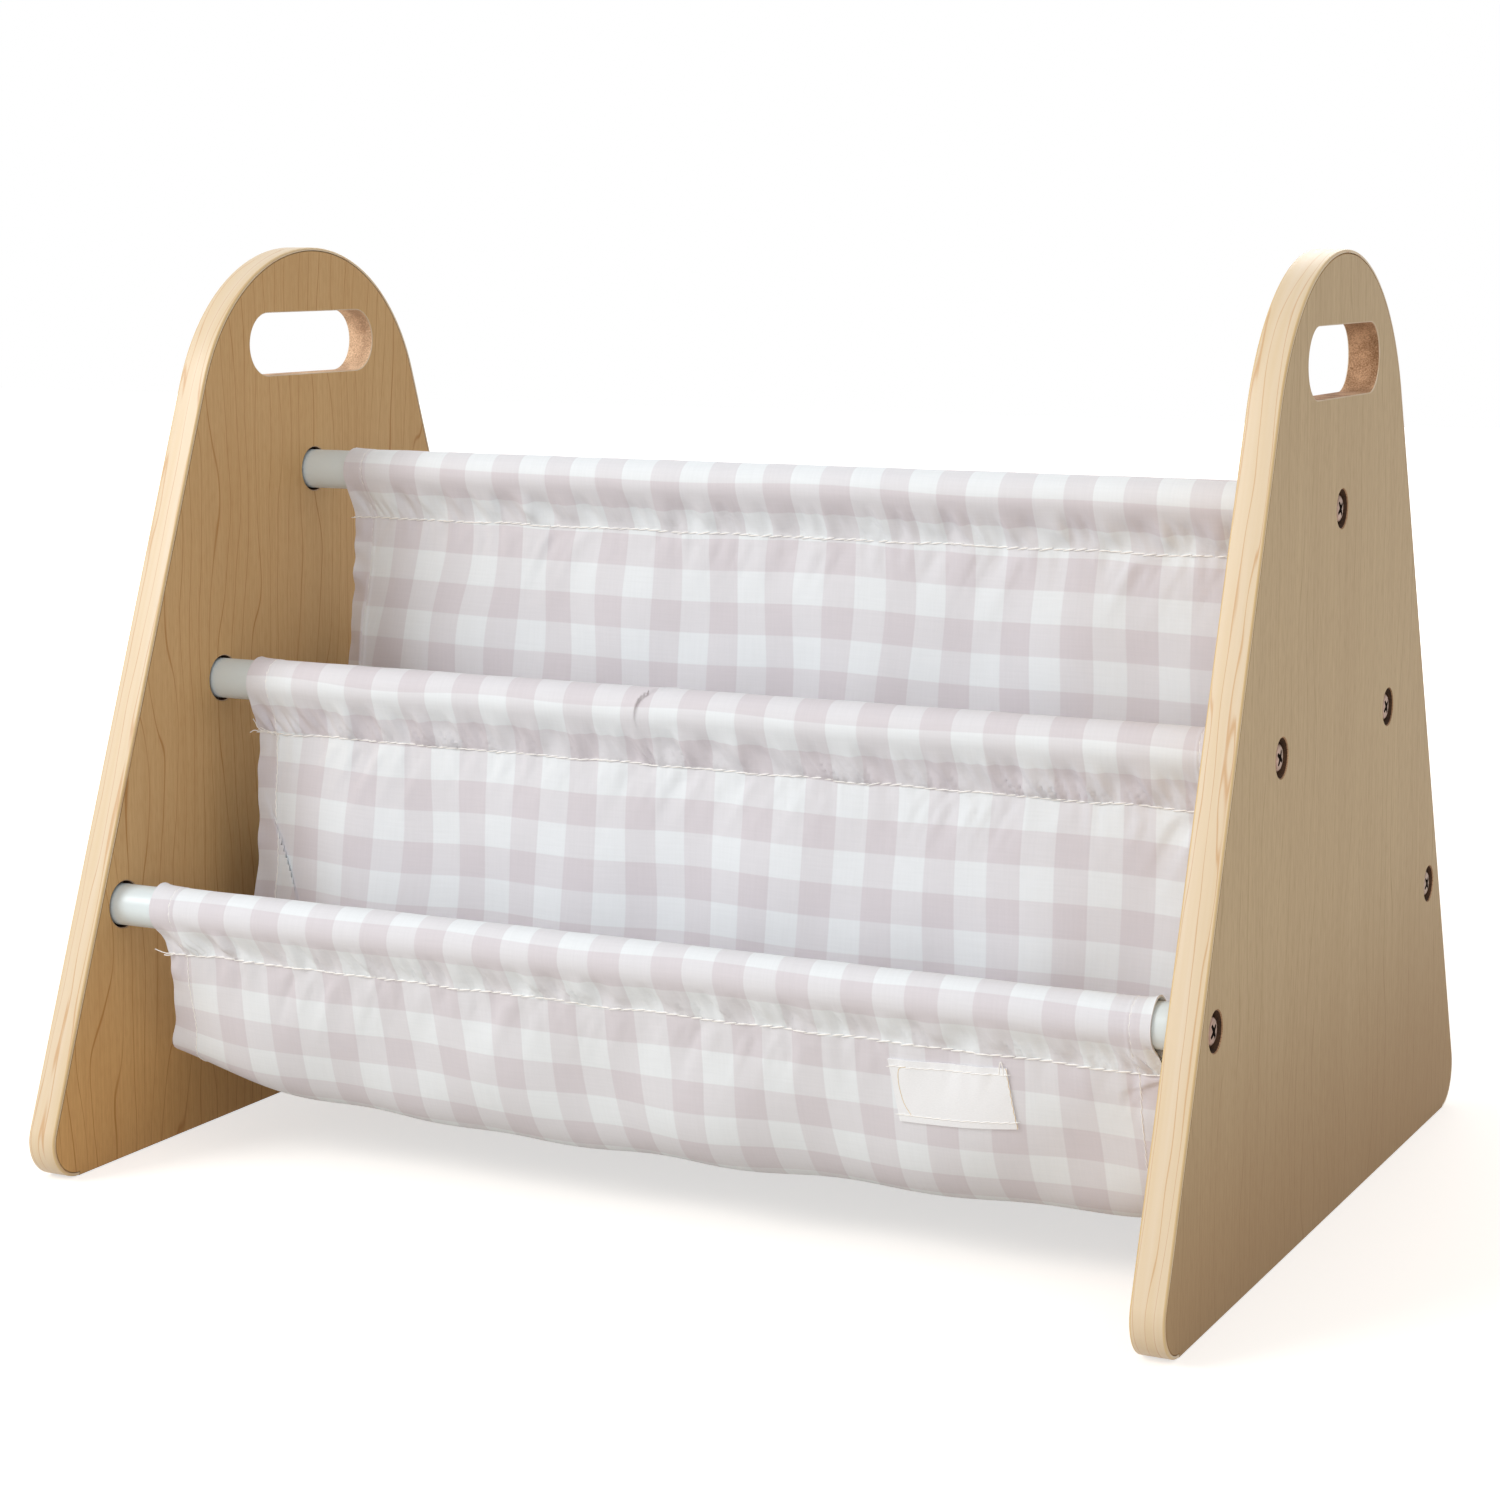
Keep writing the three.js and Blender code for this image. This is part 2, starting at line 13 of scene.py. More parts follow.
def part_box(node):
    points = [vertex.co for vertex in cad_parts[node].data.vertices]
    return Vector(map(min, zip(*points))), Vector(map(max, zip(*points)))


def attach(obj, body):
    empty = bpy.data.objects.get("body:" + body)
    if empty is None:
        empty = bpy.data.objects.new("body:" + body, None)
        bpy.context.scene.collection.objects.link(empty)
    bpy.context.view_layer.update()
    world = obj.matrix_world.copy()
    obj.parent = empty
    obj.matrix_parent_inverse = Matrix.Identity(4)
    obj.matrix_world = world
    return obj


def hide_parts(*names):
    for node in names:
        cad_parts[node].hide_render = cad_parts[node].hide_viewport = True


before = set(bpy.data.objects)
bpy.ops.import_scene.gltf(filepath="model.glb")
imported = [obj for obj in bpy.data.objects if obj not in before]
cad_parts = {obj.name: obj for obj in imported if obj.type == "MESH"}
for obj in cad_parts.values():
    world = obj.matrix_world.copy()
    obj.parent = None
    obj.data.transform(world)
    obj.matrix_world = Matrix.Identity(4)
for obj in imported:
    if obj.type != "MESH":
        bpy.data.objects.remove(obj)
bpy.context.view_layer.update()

MM = 0.001

# Camera
# The rack was photographed from its front right with a long lens, from about the height of the
# boards' tops. The camera points almost level, and its picture is shifted down to the rack.
CAMERA_PLACE = (679.53 * MM, -1372.95 * MM, 444.93 * MM)
CAMERA_TURN = 0.46707
CAMERA_TILT = -0.11407
LENS = 75.85
FILM_WIDTH = 36
PICTURE_SHIFT = -0.1


def in_scene(name, data):
    """A new object of the data, linked into the scene."""
    thing = bpy.data.objects.new(name, data)
    bpy.context.scene.collection.objects.link(thing)
    return thing


camera_data = bpy.data.cameras.new("camera")
camera_data.lens = LENS
camera_data.sensor_width = FILM_WIDTH
camera_data.shift_y = PICTURE_SHIFT
camera = in_scene("camera", camera_data)
camera.location = CAMERA_PLACE
camera.rotation_euler = (math.pi / 2 + CAMERA_TILT, 0, CAMERA_TURN)
bpy.context.scene.camera = camera
bpy.context.scene.view_settings.view_transform = "Standard"

# Studio
# A white room with a matt cream floor. One large soft lamp stands at the front left and high, a
# weak one low at the front right fills its shades, and one behind lifts the far edges.
FLOOR_SIZE = 12
FLOOR_DROP = 0.2 * MM
FLOOR_GLOW = 0.62
GLOW_SPREAD = (0.6, 2.6)
ROOM_LIGHT = 0.62
LAMP_AIM = Vector((0, 0, 0.2))
# Place, size and watts
LAMPS = {
    "key_lamp": ((-1.9, -2.3, 2.2), 1.6, 55),
    "fill_lamp": ((0.8, -2.7, 0.45), 1.2, 10),
    "back_lamp": ((-0.4, 2.6, 1.9), 1.8, 20),
}


def colour(code):
    """Linear colour of an sRGB hex code."""
    parts = [int(code[i:i + 2], 16) / 255 for i in (1, 3, 5)]
    return (*(p / 12.92 if p <= 0.04045 else ((p + 0.055) / 1.055) ** 2.4 for p in parts), 1)


def add_node(tree, kind, inputs=None, **settings):
    """Adds a node. An input takes a value, a hex code, a socket, or a node's first live output."""
    node = tree.nodes.new(kind)
    for name, value in settings.items():
        setattr(node, name, value)
    for key, value in (inputs or {}).items():
        live = [socket for socket in node.inputs if socket.enabled]
        socket = live[key] if isinstance(key, int) else next(s for s in live if s.name == key)
        if isinstance(value, bpy.types.Node):
            value = next(output for output in value.outputs if output.enabled)
        if isinstance(value, bpy.types.NodeSocket):
            tree.links.new(value, socket)
        else:
            socket.default_value = colour(value) if str(value).startswith("#") else value
    return node


def maths(tree, operation, *values):
    """Arithmetic on values or nodes."""
    return add_node(tree, "ShaderNodeMath", dict(enumerate(values)), operation=operation)


def ramp(tree, value, start, end, low=0, high=1, smooth=False):
    """Low before the start, high after the end."""
    return add_node(tree, "ShaderNodeMapRange", {
        "Value": value, "From Min": start, "From Max": end, "To Min": low, "To Max": high},
        interpolation_type="SMOOTHSTEP" if smooth else "LINEAR")


def fresh_tree(owner):
    owner.use_nodes = True
    owner.node_tree.nodes.clear()
    return owner.node_tree


def in_white_rays(tree):
    """1 for rays that show the background: from the camera, in a gloss or through glass."""
    ray = add_node(tree, "ShaderNodeLightPath").outputs
    seen = maths(tree, "MAXIMUM", ray["Is Camera Ray"], ray["Is Glossy Ray"])
    return maths(tree, "MAXIMUM", seen, ray["Is Transmission Ray"])


world = bpy.data.worlds.new("white_room")
bpy.context.scene.world = world
tree = fresh_tree(world)
room_strength = ramp(tree, in_white_rays(tree), 0, 1, ROOM_LIGHT, 1)
backdrop = add_node(tree, "ShaderNodeBackground", {"Color": "#ffffff", "Strength": room_strength})
add_node(tree, "ShaderNodeOutputWorld", {"Surface": backdrop})

for name, (place, size, watts) in LAMPS.items():
    light = bpy.data.lights.new(name, "AREA")
    light.shape = "DISK"
    light.size = size
    light.energy = watts
    lamp = in_scene(name, light)
    lamp.location = place
    lamp.rotation_euler = (LAMP_AIM - Vector(place)).to_track_quat("-Z", "Y").to_euler()

# Matt cream paint. A glow that the camera and glosses alone see brings the lit floor up to the
# white background, and leaves the rack's shadow on it as a pale grey.
floor_paint = bpy.data.materials.new("matt_cream_floor_paint")
tree = fresh_tree(floor_paint)
matt = add_node(tree, "ShaderNodeBsdfDiffuse", {"Color": "#d6d0c8"})
spot = add_node(tree, "ShaderNodeTexCoord").outputs["Object"]
away = add_node(tree, "ShaderNodeVectorMath", {0: spot}, operation="LENGTH").outputs["Value"]
glow = ramp(tree, away, *GLOW_SPREAD, FLOOR_GLOW, 1, smooth=True)
glow = maths(tree, "MULTIPLY", in_white_rays(tree), glow)
shine = add_node(tree, "ShaderNodeEmission", {"Color": "#ffffff", "Strength": glow})
lit = add_node(tree, "ShaderNodeAddShader", {0: matt, 1: shine})
add_node(tree, "ShaderNodeOutputMaterial", {"Surface": lit})

edge = FLOOR_SIZE / 2
floor_mesh = bpy.data.meshes.new("floor")
floor_mesh.from_pydata([(x, y, -FLOOR_DROP) for x, y in (
    (-edge, -edge), (edge, -edge), (edge, edge), (-edge, edge))], [], [(0, 1, 2, 3)])
floor_mesh.materials.append(floor_paint)
floor = in_scene("floor", floor_mesh)

# Side boards
# Each side is one A-shaped board, 15 mm medium-density fibreboard faced on both sides with a
# maple print under melamine. It is routed to shape; its slot and tube holes stay bare inside,
# and its rims are eased with sandpaper.
BOARD_HEIGHT = 440 * MM
BOARD_DEPTH = 448 * MM
TOP_RADIUS = 101 * MM
FOOT_RADIUS = 18.5 * MM
BAND_THICKNESS = 1.5 * MM
GLUE_LINE = 0.2 * MM
SLOT_LENGTH = 111 * MM
SLOT_HEIGHT = 32 * MM
SLOT_DROP = 49 * MM
RECESS_DEPTH = 5 * MM
RECESS_RADIUS = 11.4 * MM
COUNTERBORE_DEPTH = 5 * MM
COUNTERBORE_RADIUS = 8.75 * MM
SCREW_HOLE_RADIUS = 3.3 * MM
EASED_RIM = 0.45 * MM
TOP_ARC_STEPS = 120
FOOT_ARC_STEPS = 28
SLOT_ARC_STEPS = 40
HOLE_STEPS = 56
QUARTER = math.pi / 2
TUBE_PLACES = ("low_front", "mid_front", "top", "mid_back", "low_back")
SIDES = ("left", "right")

inner_face, outer_face = (corner.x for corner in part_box("side_panel_right"))
tube_axes = {place: sum(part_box(f"tube_{place}"), Vector()) / 2 for place in TUBE_PLACES}
top_centre = Vector((0, BOARD_HEIGHT - TOP_RADIUS))
foot_centre = Vector((BOARD_DEPTH / 2 - FOOT_RADIUS, FOOT_RADIUS))
centre_line = top_centre - foot_centre
side_normal = math.atan2(centre_line.y, centre_line.x) - math.acos(
    (FOOT_RADIUS - TOP_RADIUS) / centre_line.length)


def arc(y, z, radius, start, end, steps):
    angles = [start + (end - start) * i / steps for i in range(steps + 1)]
    return [(y + radius * math.cos(a), z + radius * math.sin(a)) for a in angles]


def curved_run(drawn_in):
    """The board's curved edge from the back foot over the top to the front foot."""
    mirrored = math.pi - side_normal
    foot = FOOT_RADIUS - drawn_in
    return (arc(*foot_centre, foot, -QUARTER, side_normal, FOOT_ARC_STEPS)
            + arc(*top_centre, TOP_RADIUS - drawn_in, side_normal, mirrored, TOP_ARC_STEPS)
            + arc(-foot_centre.x, foot_centre.y, foot, mirrored, 3 * QUARTER, FOOT_ARC_STEPS))


def board_loop(eased):
    shoulder = foot_centre.x - GLUE_LINE - eased
    under_band = BAND_THICKNESS + GLUE_LINE + eased
    return ([(-shoulder, eased), (shoulder, eased), (shoulder, under_band)]
            + curved_run(under_band) + [(-shoulder, under_band)])


def slot_loop(eased):
    radius = SLOT_HEIGHT / 2
    end = SLOT_LENGTH / 2 - radius
    height = BOARD_HEIGHT - SLOT_DROP
    return (arc(end, height, radius + eased, -QUARTER, QUARTER, SLOT_ARC_STEPS)
            + arc(-end, height, radius + eased, QUARTER, 3 * QUARTER, SLOT_ARC_STEPS))


def eased_rings(loop):
    """Rings through the board's thickness, with both rims rounded over."""
    turns = [share * QUARTER for share in (0, 0.35, 0.7, 1)]
    rings = [(inner_face + EASED_RIM * (1 - math.cos(turn)), EASED_RIM * (1 - math.sin(turn)))
             for turn in turns]
    rings += [(inner_face + outer_face - x, eased) for x, eased in reversed(rings)]
    return [[(x, *point) for point in loop(eased)] for x, eased in rings]


def tube_hole_rings(axis):
    """Rings of one stepped hole: tube recess, screw hole and counterbore."""
    recess_floor = inner_face + RECESS_DEPTH
    bore_floor = outer_face - COUNTERBORE_DEPTH
    steps = (
        (inner_face, RECESS_RADIUS + EASED_RIM), (inner_face + EASED_RIM, RECESS_RADIUS),
        (recess_floor, RECESS_RADIUS), (recess_floor, SCREW_HOLE_RADIUS),
        (bore_floor, SCREW_HOLE_RADIUS), (bore_floor, COUNTERBORE_RADIUS),
        (outer_face - EASED_RIM, COUNTERBORE_RADIUS), (outer_face, COUNTERBORE_RADIUS + EASED_RIM),
    )
    return [[(x, *point) for point in arc(axis.y, axis.z, radius, 0, 4 * QUARTER, HOLE_STEPS)[:-1]]
            for x, radius in steps]


def new_piece(name, verts, faces, materials, finishes=None, uv=None, edges=(), sharp=None):
    """A mesh piece whose place is in its mesh. Finishes give each face's material, uv each
    vertex's spot. With sharp, a closed piece faces outwards and is sharp from that angle."""
    mesh = bpy.data.meshes.new(name)
    mesh.from_pydata(verts, edges, faces)
    for material in materials:
        mesh.materials.append(material)
    if finishes is not None:
        mesh.polygons.foreach_set("material_index", finishes)
    mesh.polygons.foreach_set("use_smooth", [True] * len(mesh.polygons))
    if uv is not None:
        layer = mesh.uv_layers.new(name="cloth")
        corners = np.empty(len(mesh.loops), int)
        mesh.loops.foreach_get("vertex_index", corners)
        layer.data.foreach_set("uv", np.asarray(uv, float)[corners].ravel())
    mesh.update()
    if sharp:
        shell = bmesh.new()
        shell.from_mesh(mesh)
        bmesh.ops.recalc_face_normals(shell, faces=shell.faces)
        shell.to_mesh(mesh)
        shell.free()
        mesh.set_sharp_from_angle(angle=math.radians(sharp))
    return in_scene(name, mesh)


def blend(tree, share, first, second, way="MIX"):
    """Two colours, mixed by a share."""
    return add_node(tree, "ShaderNodeMix", {"Factor": share, "A": first, "B": second},
                    data_type="RGBA", blend_type=way)


def noise(tree, spot, size, detail=2):
    """Noise of a size in millimetres, or of one through, across and along the grain."""
    scale = 1.0
    if isinstance(size, tuple):
        stretch = [1 / (side * MM) for side in size] + [1] * (3 - len(size))
        spot = add_node(tree, "ShaderNodeMapping", {"Vector": spot, "Scale": stretch})
    else:
        scale = 1 / (size * MM)
    return add_node(tree, "ShaderNodeTexNoise", {"Vector": spot, "Scale": scale, "Detail": detail})


def new_material(name, uv=False):
    """A material, its tree, and the object's coordinates or its UV."""
    material = bpy.data.materials.new(name)
    tree = fresh_tree(material)
    if uv:
        return material, tree, add_node(tree, "ShaderNodeUVMap", uv_map="cloth")
    return material, tree, add_node(tree, "ShaderNodeTexCoord").outputs["Object"]


def finish_material(tree, base, relief=None, **values):
    """Ends a tree in a Principled shader. Relief is a height, its strength and its millimetres."""
    inputs = {key.replace("_", " "): value for key, value in values.items()}
    if relief:
        height, strength, depth = relief
        inputs["Normal"] = add_node(tree, "ShaderNodeBump", {
            "Strength": strength, "Distance": depth * MM, "Height": height})
    shader = add_node(tree, "ShaderNodeBsdfPrincipled", {"Base Color": base, **inputs})
    add_node(tree, "ShaderNodeOutputMaterial", {"Surface": shader})


def mottled(name, first, second, size, detail=2, uv=False, relief=None, **values):
    """A material in patches of two colours; relief is the patches' strength and millimetres."""
    material, tree, spot = new_material(name, uv)
    patch = noise(tree, spot, size, detail)
    raised = (patch, *relief) if relief else None
    finish_material(tree, blend(tree, patch, first, second), raised, **values)
    return material


def maple_print(name, pale, deep, ink, line_ink, streak_ink, pore_ink, foot, foot_shade_share):
    """Melamine-faced board, printed with maple. The grain is a picture under a fine matt face:
    thin brown growth lines some 10 mm apart that wander along the height and close into narrow
    spires, fine paler streaks between them, and short dark pores. Towards the foot it is painted
    darker and warmer: painted shade near the floor."""
    line_pitch = 5 * MM
    line_wander = 9.5
    spire_wander = 4
    line_width = 0.1
    foot_shade_height = 170 * MM
    material, tree, spot = new_material(name)
    axes = add_node(tree, "ShaderNodeSeparateXYZ", {0: spot}).outputs
    across = maths(tree, "MULTIPLY", axes["Y"], 1 / line_pitch)
    wander = noise(tree, spot, (110, 75, 170), 1.8)
    spire = noise(tree, spot, (90, 26, 150), 1)
    ring = maths(tree, "MULTIPLY_ADD", wander, line_wander, across)
    ring = maths(tree, "MULTIPLY_ADD", spire, spire_wander, ring)
    line = ramp(tree, maths(tree, "PINGPONG", ring, 1), 0, line_width, 1, 0, smooth=True)
    clear = ramp(tree, noise(tree, spot, (50, 13, 150)), 0.36, 0.6, *line_ink)
    line = maths(tree, "MULTIPLY", line, clear)
    base = blend(tree, noise(tree, spot, (150, 45, 420)), pale, deep)
    # Painted shade: the print turns darker and warmer towards the foot, near the floor
    foot_shade = ramp(tree, axes["Z"], 0, foot_shade_height, foot_shade_share, 0, smooth=True)
    base = blend(tree, foot_shade, base, foot)
    streak = noise(tree, spot, (30, 1.3, 130), 3)
    pore = noise(tree, spot, (10, 0.9, 7), 1)
    for mark in (ramp(tree, streak, 0.3, 0.7, 0, streak_ink),
                 ramp(tree, pore, 0.45, 0.75, 0, pore_ink), line):
        base = blend(tree, mark, base, ink)
    finish_material(tree, base, (streak, 0.06, 0.1), Roughness=0.55, Specular_IOR_Level=0.25)
    return material


def bare_fibreboard(name, dark, light):
    """Medium-density fibreboard where the router cut it: short fibres, darker where it rubbed."""
    material, tree, spot = new_material(name)
    fibre = noise(tree, spot, 0.7, 3)
    rub = noise(tree, spot, (12, 14, 14))
    felt = ramp(tree, maths(tree, "MULTIPLY", fibre, rub), 0.15, 0.36)
    finish_material(tree, blend(tree, felt, dark, light), (fibre, 0.5, 0.25), Roughness=0.9)
    return material


# Each face's print has its own painted shade at the foot: mild and warm inside, deep outside
inner_laminate = maple_print("maple_print_melamine_inside", "#dab784", "#cba36e", "#ad7638",
                             (0.5, 0.85), 0.26, 0.2, "#dfa254", 0.4)
outer_laminate = maple_print("maple_print_melamine_outside", "#d3bb93", "#c5ab84", "#90683a",
                             (0, 0.45), 0.16, 0.2, "#94682c", 0.6)
# The slot wall of the left board is painted paler than the right one's: painted light
routed_fibreboard = {
    "right": bare_fibreboard("routed_fibreboard", "#85603f", "#c99f7b"),
    "left": bare_fibreboard("slot_fibreboard_painted_light", "#b39072", "#eecaa6"),
}
# Painted shade: the walls and floors of the tube recesses and screw holes are painted near black
drilled_fibreboard = bare_fibreboard("hole_fibreboard_painted_shade", "#2e1c10", "#553822")
# The sanded rim of the facing: the cut shows its dark core as a thin brown line
sanded_rim = mottled("sanded_melamine_rim", "#8f6c40", "#b8935c", 9, Roughness=0.7)
# Round the handle slot the rim is rubbed down to the white paper of the facing
rubbed_rim = mottled("rubbed_melamine_paper", "#e6d8c2", "#c9ac84", 12, Roughness=0.6)
INSIDE, OUTSIDE, RIM, ROUTED, DRILLED, PAPER = range(6)


def board_shell():
    """Vertices, faces and finishes of the right board."""
    groups = [(eased_rings(board_loop), RIM), (eased_rings(slot_loop), ROUTED)]
    groups += [(tube_hole_rings(axis), DRILLED) for axis in tube_axes.values()]
    verts, faces, finishes, ends = [], [], [], []
    for rings, finish in groups:
        count = len(rings[0])
        steps = len(rings) - 1
        start = len(verts)
        verts += sum(rings, [])
        wall = [finish] * steps
        if finish == ROUTED:
            wall = [ROUTED if i == steps // 2 else PAPER for i in range(steps)]
        if finish == DRILLED:
            wall[0] = wall[-1] = ROUTED
        for i in range(steps):
            here, there = start + i * count, start + (i + 1) * count
            for k in range(count):
                after = (k + 1) % count
                faces.append((here + k, here + after, there + after, there + k))
            finishes += [wall[i]] * count
        ends.append((range(start, start + count), range(len(verts) - count, len(verts))))
    for rings, facing in zip(zip(*ends), (INSIDE, OUTSIDE)):
        flat = [index for ring in rings for index in ring]
        outlines = [[Vector((*verts[i][1:], 0)) for i in ring] for ring in rings]
        triangles = tessellate_polygon(outlines)
        faces += [tuple(flat[i] for i in triangle) for triangle in triangles]
        finishes += [facing] * len(triangles)
    return np.array(verts), faces, finishes


# The left board is the right one turned half round
TURNS = {"right": np.array([1, 1, 1]), "left": np.array([-1, -1, 1])}
board_verts, board_faces, board_finishes = board_shell()
for side, turned in TURNS.items():
    board = new_piece(f"board_{side}", (board_verts * turned).tolist(), board_faces,
                      [inner_laminate, outer_laminate, sanded_rim, routed_fibreboard[side],
                       drilled_fibreboard, rubbed_rim], board_finishes, sharp=50)
    for face in board.data.polygons:
        face.use_smooth = face.material_index not in (INSIDE, OUTSIDE)
    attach(board, "root")
    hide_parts(f"side_panel_{side}")

# Edge bands
# A 1.5 mm maple strip is glued round each board with a hot-melt line, and its two corners are
# trimmed round and varnished, so that they look more golden than its face.
BAND_ROUND = 0.9 * MM
BAND_ROUND_STEPS = 5
VEIN_PITCH = 2.6 * MM
VEIN_WANDER = 4.5
# Veneer: its UV is in metres along the strip and across it, with the grain drawn out lengthways
band_face, tree, strip = new_material("maple_edge_veneer", uv=True)
grain = noise(tree, strip, (90, 7), 1.5)
lanes = add_node(tree, "ShaderNodeSeparateXYZ", {0: strip}).outputs[1]
lanes = maths(tree, "MULTIPLY", lanes, 1 / VEIN_PITCH)
lanes = maths(tree, "MULTIPLY_ADD", grain, VEIN_WANDER, lanes)
vein = ramp(tree, maths(tree, "PINGPONG", lanes, 1), 0, 0.16, 0.85, 0, smooth=True)
cream = blend(tree, noise(tree, strip, (140, 4)), "#e6d4bc", "#dcc297")
finish_material(tree, blend(tree, vein, cream, "#cfa577"), Roughness=0.4)
# The trimmed corners soaked up more varnish, so they are golden and shine more
band_corner = mottled("varnished_maple_corner", "#e3c898", "#cfae7a", (60, 3), uv=True,
                      Roughness=0.35)


def rounded_corner(radius, steps):
    """A quarter round: how far each point lies in from the end face and from the side."""
    return [(radius * (1 - math.sin(turn)), radius * (1 - math.cos(turn)))
            for turn in (QUARTER * i / steps for i in range(steps + 1))]


def lengths_along(points):
    return np.concatenate([[0], np.cumsum(np.linalg.norm(np.diff(points, axis=0), axis=1))])


# The strip's section, from the glue on the inner face round to the glue on the outer one
corner = rounded_corner(BAND_ROUND, BAND_ROUND_STEPS)
section = [(inner_face, BAND_THICKNESS)]
section += [(inner_face + x, drawn) for x, drawn in reversed(corner)]
section += [(outer_face - x, drawn) for x, drawn in corner]
section += [(outer_face, BAND_THICKNESS)]
run_length = lengths_along(np.array(curved_run(0)))
stations = len(run_length)
band_verts, band_uv, band_faces, band_finishes = [], [], [], []
for i, (x, drawn) in enumerate(section):
    band_verts += [(x, y, z) for y, z in curved_run(drawn)]
    band_uv += [(length, x) for length in run_length]
    here, there = i * stations, (i + 1) % len(section) * stations
    band_faces += [(here + k, here + k + 1, there + k + 1, there + k) for k in range(stations - 1)]
    from_glue = min(i, len(section) - 2 - i)
    band_finishes += [int(1 <= from_glue <= BAND_ROUND_STEPS)] * (stations - 1)
band_faces += [tuple(range(k, len(band_verts), stations)) for k in (0, stations - 1)]
band_finishes += [0, 0]
for side, turned in TURNS.items():
    band = new_piece(f"edge_strip_{side}", (np.array(band_verts) * turned).tolist(), band_faces,
                     [band_face, band_corner], band_finishes, uv=band_uv, sharp=50)
    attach(band, "root")
    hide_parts(f"edge_band_{side}")

# Tubes and plugs
# Five 20 mm steel tubes, cut square, deburred and powder-coated white, stand between the boards
# in blind recesses. A nylon plug in each end holds the thread of its screw.
TUBE_RADIUS = 10 * MM
TUBE_BORE = 8.8 * MM
TUBE_DEBURR = 0.4 * MM
TUBE_STEPS = 72
# Powder coat, sprayed and baked: a faint orange peel breaks up its shine
white_coat, tree, spot = new_material("white_powder_coat")
peel = noise(tree, spot, 1.6)
finish_material(tree, blend(tree, noise(tree, spot, 60), "#e3edf0", "#dbe5e6"), (peel, 0.12, 0.1),
                Roughness=0.32)


def turn_about_x(profile, y, z, steps):
    """Vertices and faces of a profile of (x, radius) turned about a line along X; radius 0 is a
    pole, and a profile without poles closes on itself."""
    verts, rings = [], []
    for x, radius in profile:
        if radius == 0:
            rings.append([len(verts)] * steps)
            verts.append((x, y, z))
        else:
            rings.append(range(len(verts), len(verts) + steps))
            verts += [(x, *point) for point in arc(y, z, radius, 0, 4 * QUARTER, steps)[:-1]]
    following = rings[1:] + ([] if profile[0][1] == 0 else rings[:1])
    faces = []
    for ring, after in zip(rings, following):
        for k in range(steps):
            corners = (ring[k], ring[(k + 1) % steps], after[(k + 1) % steps], after[k])
            faces.append(tuple(dict.fromkeys(corners)))
    return verts, faces


for place, axis in tube_axes.items():
    tube_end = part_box(f"tube_{place}")[1].x
    half = [(tube_end - TUBE_DEBURR, TUBE_RADIUS), (tube_end, TUBE_RADIUS - TUBE_DEBURR),
            (tube_end, TUBE_BORE)]
    profile = [(-x, radius) for x, radius in reversed(half)] + half
    tube = new_piece(f"steel_tube_{place}", *turn_about_x(profile, axis.y, axis.z, TUBE_STEPS),
                     [white_coat], sharp=40)
    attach(tube, "root")
    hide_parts(f"tube_{place}")

# Injection-moulded nylon, milky and a little waxy
nylon = mottled("moulded_nylon", "#dddcd6", "#cfcec6", 5, Roughness=0.45)
for place in TUBE_PLACES:
    for side in SIDES:
        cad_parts[f"tube_plug_{place}_{side}"].data.materials[0] = nylon

# Screws
# Ten pan-head machine screws with a cross recess, cold-headed steel with a dark yellow-pink
# zinc finish. Each is driven into its plug until the head sits just below the board's face.
HEAD_RADIUS = 6.5 * MM
HEAD_HEIGHT = 4 * MM
HEAD_ROUND = 2.2 * MM
HEAD_CROWN = 0.3 * MM
HEAD_ROUND_STEPS = 8
SHANK_RADIUS = 2.9 * MM
SHANK_LENGTH = 20 * MM
SHANK_POINT = 1 * MM
SCREW_STEPS = 40
CROSS_ARM = 4.3 * MM
CROSS_HALF_WIDTH = 0.85 * MM
CROSS_CORE = 1.25 * MM
CROSS_TAPER = 0.55
CROSS_DEPTH = 2.4 * MM
SCREW_SEED = 12
# Zinc from more than one batch, stained by handling
screw_steel, tree, spot = new_material("bronze_zinc_plated_steel")
stain = noise(tree, spot, 2.5, 3)
plated = blend(tree, noise(tree, spot, 70, 0), "#b4857c", "#97907a")
finish_material(tree, blend(tree, stain, plated, "#75604f"), Metallic=1,
                Roughness=ramp(tree, stain, 0, 1, 0.28, 0.5))
# The cross recess is painted near black: painted shade in the recess
cross_recess_shade_steel = mottled("cross_recess_painted_shade", "#1d1815", "#3a302a", 1.5, Metallic=1,
                        Roughness=0.6)


def applied(piece):
    """The piece with its modifiers made plain mesh, and none left on it."""
    bpy.context.view_layer.update()
    shaped = piece.evaluated_get(bpy.context.evaluated_depsgraph_get())
    mesh = bpy.data.meshes.new_from_object(shaped)
    piece.modifiers.clear()
    piece.data = mesh
    return piece


def cross_ring(x, scale):
    """The cross recess's outline at a depth."""
    arm, half, core = CROSS_ARM * scale, CROSS_HALF_WIDTH * scale, CROSS_CORE * scale
    return [(x, y * math.cos(turn) - z * math.sin(turn), y * math.sin(turn) + z * math.cos(turn))
            for turn in (quarter * QUARTER for quarter in range(4))
            for y, z in ((arm, half), (core, core), (half, arm))]


